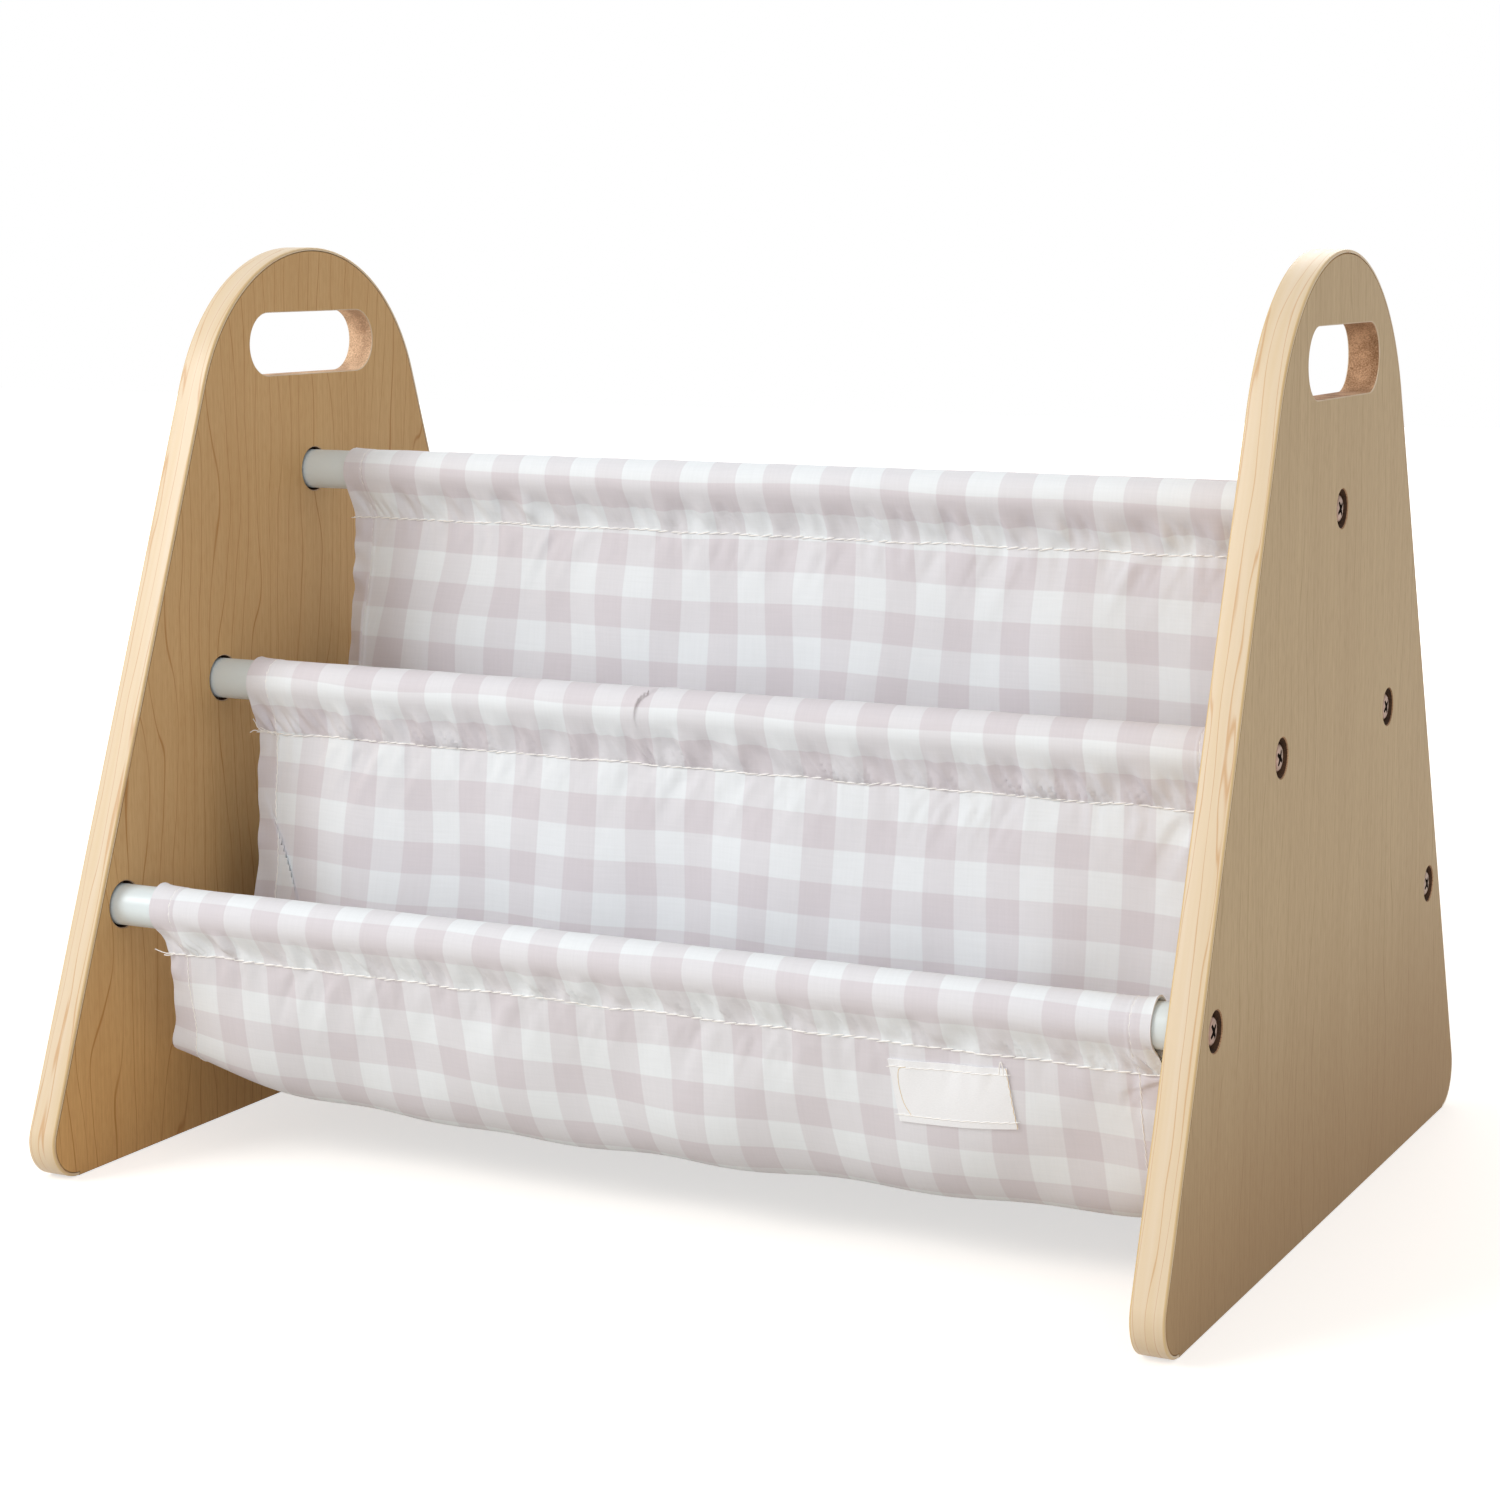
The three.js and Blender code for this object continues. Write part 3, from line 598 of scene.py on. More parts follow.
shank_end = -HEAD_HEIGHT - SHANK_LENGTH
blank_profile = [(shank_end, 0), (shank_end, SHANK_RADIUS - SHANK_POINT),
                 (shank_end + SHANK_POINT, SHANK_RADIUS), (-HEAD_HEIGHT, SHANK_RADIUS),
                 (-HEAD_HEIGHT, HEAD_RADIUS)]
blank_profile += [(-x - HEAD_CROWN, HEAD_RADIUS - drawn)
                  for x, drawn in rounded_corner(HEAD_ROUND, HEAD_ROUND_STEPS)]
blank_profile += [(-HEAD_CROWN * 0.3, HEAD_RADIUS / 3), (0, 0)]
blank = new_piece("screw_blank", *turn_about_x(blank_profile, 0, 0, SCREW_STEPS), [screw_steel],
                  sharp=180)
cutter_verts = cross_ring(-CROSS_DEPTH, CROSS_TAPER) + cross_ring(CROSS_DEPTH / 4, 1)
count = len(cutter_verts) // 2
cutter_faces = [(k, (k + 1) % count, count + (k + 1) % count, count + k) for k in range(count)]
cutter_faces += [tuple(range(count)), tuple(range(count, 2 * count))]
cutter = new_piece("cross_punch", cutter_verts, cutter_faces, [screw_steel], sharp=180)
punch = blank.modifiers.new("cross", "BOOLEAN")
punch.operation = "DIFFERENCE"
punch.solver = "EXACT"
punch.object = cutter
applied(blank)
bpy.data.objects.remove(cutter)
blank.data.set_sharp_from_angle(angle=math.radians(35))
in_cross = blank.data.attributes.new("in_cross", "BOOLEAN", "FACE")
for face in blank.data.polygons:
    x, y, z = face.center
    in_cross.data[face.index].value = (-HEAD_HEIGHT < x < -2 * HEAD_CROWN
                                       and math.hypot(y, z) < CROSS_ARM)


def grower_tree(name, **kinds):
    """A Geometry Nodes tree with a Geometry at both ends, and its inputs."""
    tree = bpy.data.node_groups.new(name, "GeometryNodeTree")
    for label, kind in {"Geometry": "Geometry", **kinds}.items():
        tree.interface.new_socket(name=label, in_out="INPUT", socket_type=f"NodeSocket{kind}")
    tree.interface.new_socket(name="Geometry", in_out="OUTPUT", socket_type="NodeSocketGeometry")
    return tree, add_node(tree, "NodeGroupInput").outputs


def painted(tree, geometry, finish, **more):
    return add_node(tree, "GeometryNodeSetMaterial", {
        "Geometry": geometry, "Material": finish, **more})


def realized(tree, geometry):
    return add_node(tree, "GeometryNodeRealizeInstances", {"Geometry": geometry})


def named_attribute(tree, name, kind):
    return add_node(tree, "GeometryNodeInputNamedAttribute", {"Name": name}, data_type=kind)


def grown_by(piece, node_tree, **values):
    """Runs a Geometry Nodes tree with named inputs on a piece and keeps its result."""
    grower = piece.modifiers.new("grower", "NODES")
    grower.node_group = node_tree
    for item in node_tree.interface.items_tree:
        if item.in_out == "INPUT" and item.name in values:
            grower[item.identifier] = values[item.name]
    return applied(piece)


def set_vectors(piece, name, vectors):
    attribute = piece.data.attributes.new(name, "FLOAT_VECTOR", "POINT")
    attribute.data.foreach_set("vector", np.array(vectors).ravel())


screws_tree, given = grower_tree("screws_in_boards", Blank="Object", Finish="Material",
                                 Recess="Material")
whole = add_node(screws_tree, "GeometryNodeObjectInfo", {"Object": given["Blank"]})
placed = add_node(screws_tree, "GeometryNodeInstanceOnPoints", {
    "Points": given["Geometry"], "Instance": whole.outputs["Geometry"],
    "Rotation": named_attribute(screws_tree, "turn", "FLOAT_VECTOR")})
plain = painted(screws_tree, realized(screws_tree, placed), given["Finish"])
# Painted shade: the faces inside the cross recess get the near-black material
crossed = named_attribute(screws_tree, "in_cross", "BOOLEAN")
shaded_recess = painted(screws_tree, plain, given["Recess"], Selection=crossed)
add_node(screws_tree, "NodeGroupOutput", {"Geometry": shaded_recess})

draw = np.random.default_rng(SCREW_SEED)
screw_spots, screw_turns = [], []
for sign, half_turn in ((1, 0), (-1, math.pi)):
    for place, axis in tube_axes.items():
        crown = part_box(f"screw_{place}_right")[1].x
        screw_spots.append((sign * crown, axis.y, axis.z))
        screw_turns.append((math.radians(45 + 30 * (draw.random() - 0.5)), 0, half_turn))
screws = new_piece("screws", screw_spots, [], [screw_steel])
set_vectors(screws, "turn", screw_turns)
grown_by(screws, screws_tree, Blank=blank, Finish=screw_steel, Recess=cross_recess_shade_steel)
bpy.data.objects.remove(blank)
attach(screws, "root")
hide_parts(*(f"screw_{place}_{side}" for place in TUBE_PLACES for side in SIDES))

# Sling
# One long cotton gingham hangs over the tubes in a W. It is sewn to itself under each tube, its
# sides are hemmed, and it has been slid a little to the right. It is made here as the sleeves
# and pockets of the frame, which meet edge to edge at the seams.
CLOTH = 0.5 * MM
SIDE_HEM = 13 * MM
HEM_STITCH_IN = 11.2 * MM
HEM_FOLD = 0.3 * MM
HEM_EDGE = 0.25 * MM
HEM_DIP = 0.2 * MM
HEM_DIP_REACH = 0.7 * MM
TUBE_ROOM = 0.35 * MM
SEAM_ROOM = 0.1 * MM
SEAM_DROPS = {"low": 21 * MM, "mid": 26 * MM, "top": 24.5 * MM}
FLOOR_ROOM = 27 * MM
BOTTOM_BOW = 4 * MM
HEM_LIFT_LEFT = 16 * MM
HEM_LIFT_RIGHT = 3 * MM
HEM_REACH = 30 * MM
LEFT_SLIDES = {"low": (4 * MM, 16 * MM), "mid": (-1 * MM, 60 * MM), "top": (3 * MM, 90 * MM)}
CORNER_SLIDE = -4 * MM
CORNER_BULGE = 9 * MM
LEAVE_ANGLE = math.radians(22)
SLEEVE_COLUMNS = 400
LEG_ROWS = 22
OVER_ROWS = 15
POCKET_COLUMNS = 330
POCKET_ROWS = 138
CHECK_PITCH = 15.52 * MM
FIRST_COLUMN = -230.93 * MM

sling_left, sling_right = (corner.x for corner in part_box("sling_pocket_low_front"))
cloth_width = sling_right - sling_left
layer_offset = (CLOTH + SEAM_ROOM) / 2


def by_level(values, place):
    """The value for a place's height in the rack."""
    return values[place.split("_")[0]]


seam_of = {place: axis.z - by_level(SEAM_DROPS, place) for place, axis in tube_axes.items()}


def ripples(at, seed, pitch, spread=0.4, count=6):
    """Uneven waves, about one every pitch, mostly between -1 and 1."""
    total = 0
    for share, phase in np.random.default_rng(seed).random((count, 2)):
        length = pitch * (1 + spread * (2 * share - 1))
        total = total + np.sin(2 * np.pi * (at / length + phase))
    return total / math.sqrt(count)


def drift(x, s, seed, size, count=7):
    """Slow uneven hills over the cloth, mostly between -1 and 1."""
    total = 0
    for share, turn, phase in np.random.default_rng(seed).random((count, 3)):
        length = size * (0.7 + 0.9 * share)
        along = x * math.cos(math.pi * turn) + s * math.sin(math.pi * turn)
        total = total + np.sin(2 * np.pi * (along / length + phase))
    return total / math.sqrt(count)


def bump(distance, reach):
    return np.exp(-(distance / reach) ** 2)


def step(distance, softness):
    """A soft step from 0 to 1."""
    return 0.5 + 0.5 * np.tanh(distance / (2 * softness))


def lip(distance, sharpness, tail):
    """A fold's profile: nothing before it, a steep rise at its edge, and a slow fall after it."""
    return np.exp(-np.maximum(distance, 0) / tail) * step(distance, sharpness)


def from_ends(x):
    return np.minimum(x - sling_left, sling_right - x)


def near_left(x, reach=HEM_REACH):
    return np.exp((sling_left - x) / reach)


def near_right(x, reach=HEM_REACH):
    return np.exp((x - sling_right) / reach)


def hem_thickness(x):
    """The folded side hems are two layers thick, and drawn in along their stitches."""
    fold = HEM_FOLD * step(SIDE_HEM - from_ends(x), HEM_EDGE)
    return CLOTH + fold - HEM_DIP * bump(from_ends(x) - HEM_STITCH_IN, HEM_DIP_REACH)


def left_slide(x, away, place):
    """How far the sewing has drawn the left end along its tube, at a distance from a seam."""
    size, reach = by_level(LEFT_SLIDES, place)
    return size * near_left(x) * bump(away, reach)


def place_seed(place, extra):
    return 31 * (TUBE_PLACES.index(place) + 1) + extra


# Depth and pitch of the waves in a puckered seam: two to the back and one up
SEAM_WAVES = ((0.55 * MM, 34 * MM), (0.3 * MM, 11 * MM), (0.3 * MM, 60 * MM))
SEAM_REACH = 14 * MM
WALL_PUCKERS = 0.7 * MM
WALL_PUCKER_REACH = 26 * MM
PUCKER_LEAN = 0.5
LABEL_MIDDLE = 166 * MM
LABEL_REACH = 33 * MM


def seam_sway(x, place):
    """How far the puckered seam wanders: to the back, and up."""
    long_wave, short_wave, rise = (depth * ripples(x, place_seed(place, extra), pitch)
                                   for extra, (depth, pitch) in enumerate(SEAM_WAVES, 1))
    return long_wave + short_wave, rise


def hanging_sway(x, fallen, place):
    """How far the cloths under a seam stand off together: to the back, and up. Soft folds start
    at the seam and lean as they fall."""
    sway, rise = seam_sway(x, place)
    seed = place_seed(place, 40)
    lean = x + PUCKER_LEAN * fallen
    puckers = ripples(lean, seed, 21 * MM, 0.45) + 0.4 * ripples(lean, seed + 5, 9 * MM)
    puckers = WALL_PUCKERS * puckers * (0.6 + 0.5 * ripples(x, seed + 7, 110 * MM))
    puckers = puckers * bump(fallen, WALL_PUCKER_REACH) * (1 - bump(fallen, 5 * MM))
    if place == "low_front":
        # The label's tape keeps the cloth flat behind it
        puckers = puckers * (1 - 0.85 / (1 + ((x - LABEL_MIDDLE) / LABEL_REACH) ** 8))
    near = bump(fallen, SEAM_REACH)
    return sway * near + puckers, rise * near


def sleeve_section(place):
    """Half of a sleeve's section: points (outwards, up) from the seam to the top of the tube,
    outward normals, and lengths from the seam."""
    radius = TUBE_RADIUS + TUBE_ROOM + CLOTH / 2
    touch = radius * np.array([math.cos(LEAVE_ANGLE), -math.sin(LEAVE_ANGLE)])
    down = np.array([-math.sin(LEAVE_ANGLE), -math.cos(LEAVE_ANGLE)])
    seam = np.array([layer_offset, -by_level(SEAM_DROPS, place)])
    reach = np.linalg.norm(touch - seam)
    t = np.linspace(0, 1, LEG_ROWS)[:, None]
    leg = ((1 - t) ** 3 * seam + 3 * (1 - t) ** 2 * t * (seam + [0, 0.5 * reach])
           + 3 * (1 - t) * t ** 2 * (touch + 0.34 * reach * down) + t ** 3 * touch)
    turns = np.linspace(-LEAVE_ANGLE, QUARTER, OVER_ROWS)[1:]
    points = np.concatenate([leg, radius * np.column_stack([np.cos(turns), np.sin(turns)])])
    tangent = np.gradient(points, axis=0)
    normals = np.column_stack([tangent[:, 1], -tangent[:, 0]])
    normals /= np.linalg.norm(normals, axis=1)[:, None]
    return points, normals, lengths_along(points)


sections = {place: sleeve_section(place) for place in TUBE_PLACES}

# Dents in a sleeve's sides, puckers above its seam, room over the tube, and its loose ends
SLEEVE_DENTS = 2 * MM
DENT_PITCHES = (24 * MM, 11 * MM)
SLEEVE_PUCKERS = {"low": 0.9 * MM, "mid": 1.4 * MM, "top": 0.5 * MM}
SLEEVE_PUCKER_PITCH = 9.5 * MM
LOOSE_OVER_TUBE = 0.12 * MM
SLEEVE_END_ROOM = 3 * MM
SLEEVE_END_FLARE = 0.4 * MM
SLEEVE_END_REACH = 3 * MM
# The raised corner at each end of a sleeve
SLEEVE_EARS = {"low": 1.3 * MM, "mid": 0.6 * MM, "top": 0.2 * MM}
# One fold of spare cloth laps over to the right on the front of the middle front sleeve
LAP_X = -26 * MM
LAP_TURN = 30 * MM
LAP_HEIGHT = 2 * MM
LAP_SWELL = 1.1 * MM
LAP_PULL = 1.6 * MM


def sleeve_swell(x, height, leg, seed, place):
    """How far a sleeve's side stands off its taut shape: dents and puckers above the seam, and
    the loose hem at each end with its raised corner."""
    share = np.clip(height / leg, 0, 1)
    belly = np.sin(np.pi * share ** 0.85) ** 2
    lean = x + 0.3 * height
    dents = 0.55 + 0.6 * ripples(lean, seed, DENT_PITCHES[0], 0.25)
    dents = dents + 0.35 * ripples(lean, seed + 1, DENT_PITCHES[1])
    swell = SLEEVE_DENTS * np.maximum(dents, -0.1) * belly
    lean = x + PUCKER_LEAN * height
    pinched = np.abs(ripples(lean, seed + 2, SLEEVE_PUCKER_PITCH, 0.3)) * (share > 0)
    swell = swell + by_level(SLEEVE_PUCKERS, place) * pinched * bump(height - 4 * MM, 6 * MM)
    over = LOOSE_OVER_TUBE * (1 + drift(x, height, seed + 3, 40 * MM)) * share
    at_end = np.exp(-from_ends(x) / SLEEVE_END_REACH)
    flare = SLEEVE_END_FLARE * at_end * np.sin(QUARTER * share) ** 2
    flare = flare * (1 - 0.6 * np.clip((height - leg) / (12 * MM), 0, 1))
    raised = by_level(SLEEVE_EARS, place) * at_end * bump(height - leg - 20 * MM, 6 * MM)
    return np.maximum(swell, 0) + over + flare + raised


def front_lap(x, height):
    """How far the lap stands off, and how far it draws the cloth to the right."""
    turn = (height - LAP_TURN) / np.where(height > LAP_TURN, 9 * MM, 25 * MM)
    past_edge = LAP_X + 6 * MM * turn ** 2 - x
    lapped = lip(past_edge, 0.2 * MM, 5 * MM) * bump(height - 36 * MM, 9 * MM)
    below = lip(past_edge, 1.5 * MM, 6 * MM) * bump(height - 18 * MM, 12 * MM)
    return LAP_HEIGHT * lapped + LAP_SWELL * below, LAP_PULL * lapped


def sleeve_grid(place, x):
    """A sleeve's middle surface from its front seam over the tube to its back seam, and lengths
    from the front seam. The inner face is CLOTH / 2 within it."""
    points, normals, lengths = sections[place]
    axis = tube_axes[place]
    x = np.asarray(x)[:, None]
    height = lengths[None, :]
    sway, rise = seam_sway(x, place)
    near = bump(height, 9 * MM)
    halves = []
    for sign, seed in ((-1, 10), (1, 20)):
        swell = sleeve_swell(x, height, lengths[LEG_ROWS - 1], place_seed(place, seed), place)
        along_tube = x + left_slide(x, height, place)
        along_tube = along_tube - SLEEVE_END_ROOM * near_right(x, 12 * MM) * (1 - near)
        if place == "mid_front" and sign < 0:
            stands_off, pulled = front_lap(x, height)
            swell = swell + stands_off
            along_tube = along_tube + pulled
        out, up = (points[None, :, i] + normals[None, :, i] * swell for i in (0, 1))
        halves.append(np.stack([along_tube, axis.y + sign * out + sway * near,
                                axis.z + up + rise * near], axis=-1))
    grid = np.concatenate([halves[0], halves[1][:, -2::-1]], axis=1)
    return grid, np.concatenate([lengths, 2 * lengths[-1] - lengths[-2::-1]])


def hang_between(start, end, bottom):
    """Catenaries between two heights, one for each column: z = bottom - a + hypot(a, s)."""
    span = end[0] - start[0]
    low, high = np.full(bottom.shape, span / 1000), np.full(bottom.shape, span * 1000)
    up_start, up_end = start[1] - bottom, end[1] - bottom
    for _ in range(60):
        a = (low + high) / 2
        wide = a * (np.arccosh(1 + up_start / a) + np.arccosh(1 + up_end / a))
        low, high = np.where(wide > span, low, a), np.where(wide > span, a, high)
    y0 = start[0] + low * np.arccosh(1 + up_start / low)
    first, last = (np.sqrt((low + up) ** 2 - low ** 2) for up in (up_start, up_end))
    return low, y0, -first, last


# Outer and inner seam, and the side of the rack
POCKETS = {
    "low_front": ("low_front", "mid_front", 1), "high_front": ("mid_front", "top", 1),
    "high_back": ("mid_back", "top", -1), "low_back": ("low_back", "mid_back", -1),
}
pocket_depth = seam_of["low_front"] - FLOOR_ROOM

# Soft folds that run down the pockets a little askew, low hills, and a frilled edge at each side
FOLD_DEPTH = 2.2 * MM
FRONT_FOLD_DEPTH = 3.1 * MM
FOLD_PITCH = 118 * MM
FOLD_RISE = 30 * MM
FOLD_LEAN_SHARE = 0.35
HILL_HEIGHT = 1.3 * MM
HILL_SIZE = 75 * MM
FRILL_DEPTH = 0.9 * MM
FRILL_PITCH = 21 * MM
# A three-cornered tuck where the low front seam meets the right hem
TUCK_HEIGHT = 1.6 * MM
TUCK_REACH = 14 * MM
TUCK_SLANT = 0.4
# A crease that runs down from the left hem on the wall under the middle tube: how far in and
# down it starts, its slant, where it is deepest and how far it reaches
CREASE_IN = 8.5 * MM
CREASE_DROP = 42 * MM
CREASE_SLANT = 0.42
CREASE_MIDDLE = 62 * MM
CREASE_REACH = 22 * MM
CREASE_EDGE = 0.25 * MM
CREASE_DEPTH = 1.7 * MM
CREASE_HOLLOW = 0.5 * MM
CREASE_PULL = 3.6 * MM
# Lower down, the wall under the top tube curls its left hem to the back
CURL_FROM = 42 * MM
CURL_TO = 105 * MM
CURL_PULL = 5.5 * MM
CURL_DRAW = 0.2
CURL_RISE = 0.6


def pocket_hang(pocket, x):
    outer, inner, _ = POCKETS[pocket]
    out_way = -1 if outer.startswith("low") else 1
    start = (-abs(tube_axes[outer].y) + out_way * layer_offset, seam_of[outer])
    end = (-abs(tube_axes[inner].y) - layer_offset, seam_of[inner])
    share = (2 * x - sling_left - sling_right) / cloth_width
    lift = BOTTOM_BOW * share ** 2 + HEM_LIFT_LEFT * near_left(x) + HEM_LIFT_RIGHT * near_right(x)
    bottom = start[1] - pocket_depth + lift
    return (*hang_between(start, end, bottom), bottom)


def right_tuck(x, fall):
    """How far the tuck stands off."""
    past_edge = 2 * MM + TUCK_SLANT * (sling_right - x) - fall
    tucked = lip(past_edge, 0.3 * MM, 6 * MM) * bump(sling_right - x, TUCK_REACH)
    return TUCK_HEIGHT * tucked * (1 - bump(fall, 1.2 * MM))


def left_crease(x, from_inner):
    """How deep the crease is, and how far it draws the cloth to the right."""
    past_edge = sling_left + CREASE_IN + CREASE_SLANT * (from_inner - CREASE_DROP) - x
    fades = bump(from_inner - CREASE_MIDDLE, CREASE_REACH)
    depth = (CREASE_DEPTH * lip(past_edge, CREASE_EDGE, 7 * MM)
             + CREASE_HOLLOW * lip(past_edge, 2 * MM, 14 * MM))
    return fades * depth, CREASE_PULL * fades * lip(past_edge, CREASE_EDGE, 12 * MM)


def left_curl(x, from_inner):
    """How far the curled hem goes to the back, and how far it is drawn along."""
    curled = 1 / (1 + np.exp((CURL_FROM - from_inner) / (6 * MM))
                  + np.exp((from_inner - CURL_TO) / (8 * MM)))
    in_hem = np.maximum(sling_left + HEM_STITCH_IN - x, 0)
    return (CURL_RISE * curled * in_hem,
            curled * (CURL_DRAW * in_hem - CURL_PULL * near_left(x, 40 * MM)))


def pocket_grid(pocket, x, fall):
    """Points of a pocket's middle surface at lengths down the cloth from its outer seam."""
    outer, inner, side = POCKETS[pocket]
    a, y0, first, last, bottom = pocket_hang(pocket, x)
    s = first + fall
    y = y0 + a * np.arcsinh(s / a)
    z = bottom - a + np.hypot(a, s)
    from_inner = last - s
    nearest = np.minimum(fall, from_inner)
    grown = (1 - bump(nearest, FOLD_RISE)) * (1 - bump(s, FOLD_RISE))
    depth = np.where((s < 0) & outer.startswith("low"), FRONT_FOLD_DEPTH, FOLD_DEPTH)
    fold = depth * grown * np.sin(2 * np.pi * (x + FOLD_LEAN_SHARE * s) / FOLD_PITCH)
    hills = drift(x, s, place_seed(outer, 60), HILL_SIZE)
    fold = fold + HILL_HEIGHT * hills * (1 - bump(nearest, 40 * MM))
    frill = ripples(s, place_seed(outer, 50), FRILL_PITCH) * np.exp(-from_ends(x) / (6 * MM))
    fold = fold + FRILL_DEPTH * frill * (1 - bump(nearest, 9 * MM))
    slope = s / a
    lean = np.hypot(1, slope)
    sway_out, rise_out = hanging_sway(x, fall, outer)
    sway_in, rise_in = hanging_sway(x, from_inner, inner)
    at_corner = near_left(x) * bump(s + 16 * MM, 15 * MM)
    x = x + left_slide(x, fall, outer) + left_slide(x, from_inner, inner)
    if outer.startswith("low"):
        # At its lower left corner the pocket stands out, square
        x = x + CORNER_SLIDE * at_corner
        y = y - CORNER_BULGE * at_corner
    if pocket == "low_front":
        depth, pulled = left_crease(x, from_inner)
        fold = fold + right_tuck(x, fall) - depth
        x = x + pulled
    if pocket == "high_front":
        to_back, pulled = left_curl(x, from_inner)
        fold = fold + to_back
        x = x + pulled
    y = side * (y + slope * fold / lean) + sway_out + sway_in
    z = z - fold / lean + rise_out + rise_in
    return np.stack(np.broadcast_arrays(x, y, z), axis=-1)


def surface_normals(points):
    normals = np.cross(np.gradient(points, axis=0), np.gradient(points, axis=1))
    return normals / np.linalg.norm(normals, axis=-1, keepdims=True)


def closed_sheet(name, points, normals, below, above, uv, material):
    """A closed piece about a grid of points, with its faces that far off along the normals."""
    index = np.arange(points.shape[0] * points.shape[1]).reshape(points.shape[:2])
    below, above = (np.broadcast_to(side, index.shape)[..., None] for side in (below, above))
    verts = np.concatenate([points - normals * below, points + normals * above]).reshape(-1, 3)
    quads = np.stack([index[:-1, :-1], index[1:, :-1], index[1:, 1:], index[:-1, 1:]], axis=-1)
    quads = quads.reshape(-1, 4)
    rim = np.concatenate([index[:-1, 0], index[-1, :-1], index[:0:-1, -1], index[0, :0:-1]])
    after = np.roll(rim, -1)
    edge = np.stack([rim, after, after + index.size, rim + index.size], axis=-1)
    faces = np.concatenate([quads[:, ::-1], quads + index.size, edge])
    uv = np.stack(np.broadcast_arrays(*uv), axis=-1).reshape(-1, 2)
    return new_piece(name, verts.tolist(), faces.tolist(), [material],
                     uv=np.concatenate([uv, uv]), sharp=60)


# Yarn-dyed gingham in plain weave: white yarns and dusty pink ones crossing, so that it has white,
# light and dark checks, which fade into each other over a yarn or two. The yarns are finer than
# the picture shows, so they are drawn about twice as coarse, as a faint uneven mesh.
YARN = 1.1 * MM
CHECK_BLUR = 0.35 * MM
gingham, tree, checks = new_material("plain_weave_cotton_gingham", uv=True)
# UV in checks: whole numbers are the borders between checks, odd columns and even rows are dyed
lanes = add_node(tree, "ShaderNodeSeparateXYZ", {0: checks}).outputs
soft = CHECK_BLUR / CHECK_PITCH
dyes = []
for lane, to_centre in ((lanes["X"], -0.5), (lanes["Y"], 0.5)):
    away = maths(tree, "PINGPONG", maths(tree, "ADD", lane, to_centre), 1)
    in_check = ramp(tree, away, 0.5 - soft, 0.5 + soft, smooth=True)
    dyes.append(blend(tree, in_check, "#ffffff", "#f5f0f1"))
dyed = blend(tree, 1, *dyes, "MULTIPLY")
yarns = []
for stretch in ((1, 0.05, 1), (0.05, 1, 1)):
    laid = add_node(tree, "ShaderNodeMapping", {
        "Vector": checks, "Scale": [CHECK_PITCH / YARN * share for share in stretch]})
    yarns.append(add_node(tree, "ShaderNodeTexNoise", {"Vector": laid, "Scale": 1, "Detail": 1}))
weave = maths(tree, "ADD", *yarns)
faded = blend(tree, 1, "#eef2f5", dyed, "MULTIPLY")
shaded = blend(tree, 1, faded, ramp(tree, weave, 0.7, 1.3, 0.97, 1), "MULTIPLY")
finish_material(tree, shaded, (weave, 0.15, 0.15), Roughness=0.85, Sheen_Weight=0.15,
                Sheen_Roughness=0.5)

# The cloth isn't cut quite square, so the columns are slid by so much at its left and right ends,
# and near the left end they lean over as they run down from the inner seam
NOT_SLID = (0, 0)
SLEEVE_SLIDES = {"low_front": (0.5 * MM, 9.5 * MM), "mid_front": (3.2 * MM, 8.2 * MM),
                 "top": (0.5 * MM, 3.9 * MM)}
WALL_SLIDES = {"low_front": (1.6 * MM, 4.8 * MM), "mid_front": (5.5 * MM, 6.5 * MM),
               "top": (4.6 * MM, 3.8 * MM)}
LEFT_LEANS = {"mid_front": (-3.5 * MM, 6 * MM), "top": (-4 * MM, 10 * MM)}
LEAN_FALL = 80 * MM
LEAN_REACH = 50 * MM
HEM_ROW_SLIP = 0.13
TOP_ROW_DRIFT = 0.31
COLUMN_WAVE = 1.1 * MM
ROW_WAVE = 1 * MM
ROW_SOFTNESS = 14 * MM


def checks_across(x, s, seed, slide):
    """Column coordinate, with the cloth a little askew here and there."""
    slid = x - FIRST_COLUMN + slide[0] + (slide[1] - slide[0]) * (x - sling_left) / cloth_width
    return (slid + COLUMN_WAVE * drift(x, s, seed, 90 * MM)) / CHECK_PITCH


def hemmed(x, columns):
    """The hem's turned-over column ends at its stitches on the left."""
    from_stitches = x - sling_left - HEM_STITCH_IN
    return np.where(from_stitches < 0, from_stitches / CHECK_PITCH, columns)


def row_wave(x, place):
    return ROW_WAVE * drift(x, 0, place_seed(place, 70), 120 * MM) / CHECK_PITCH


def crowded(length, count, spots, reach):
    """Places from 0 to a length, up to four times closer together near some spots."""
    fine = np.linspace(0, length, 4000)
    density = 1 + 3 * sum(bump(fine - spot, reach) for spot in spots)
    total = np.cumsum(density) - density[0]
    return np.interp(np.linspace(0, total[-1], count), total, fine)


def outward_on_sleeve(grid):
    """Normals of a sleeve's middle surface that point away from its tube."""
    normals = surface_normals(grid)
    over = normals[0, LEG_ROWS + OVER_ROWS - 2]
    return normals if over[2] > 0 else -normals


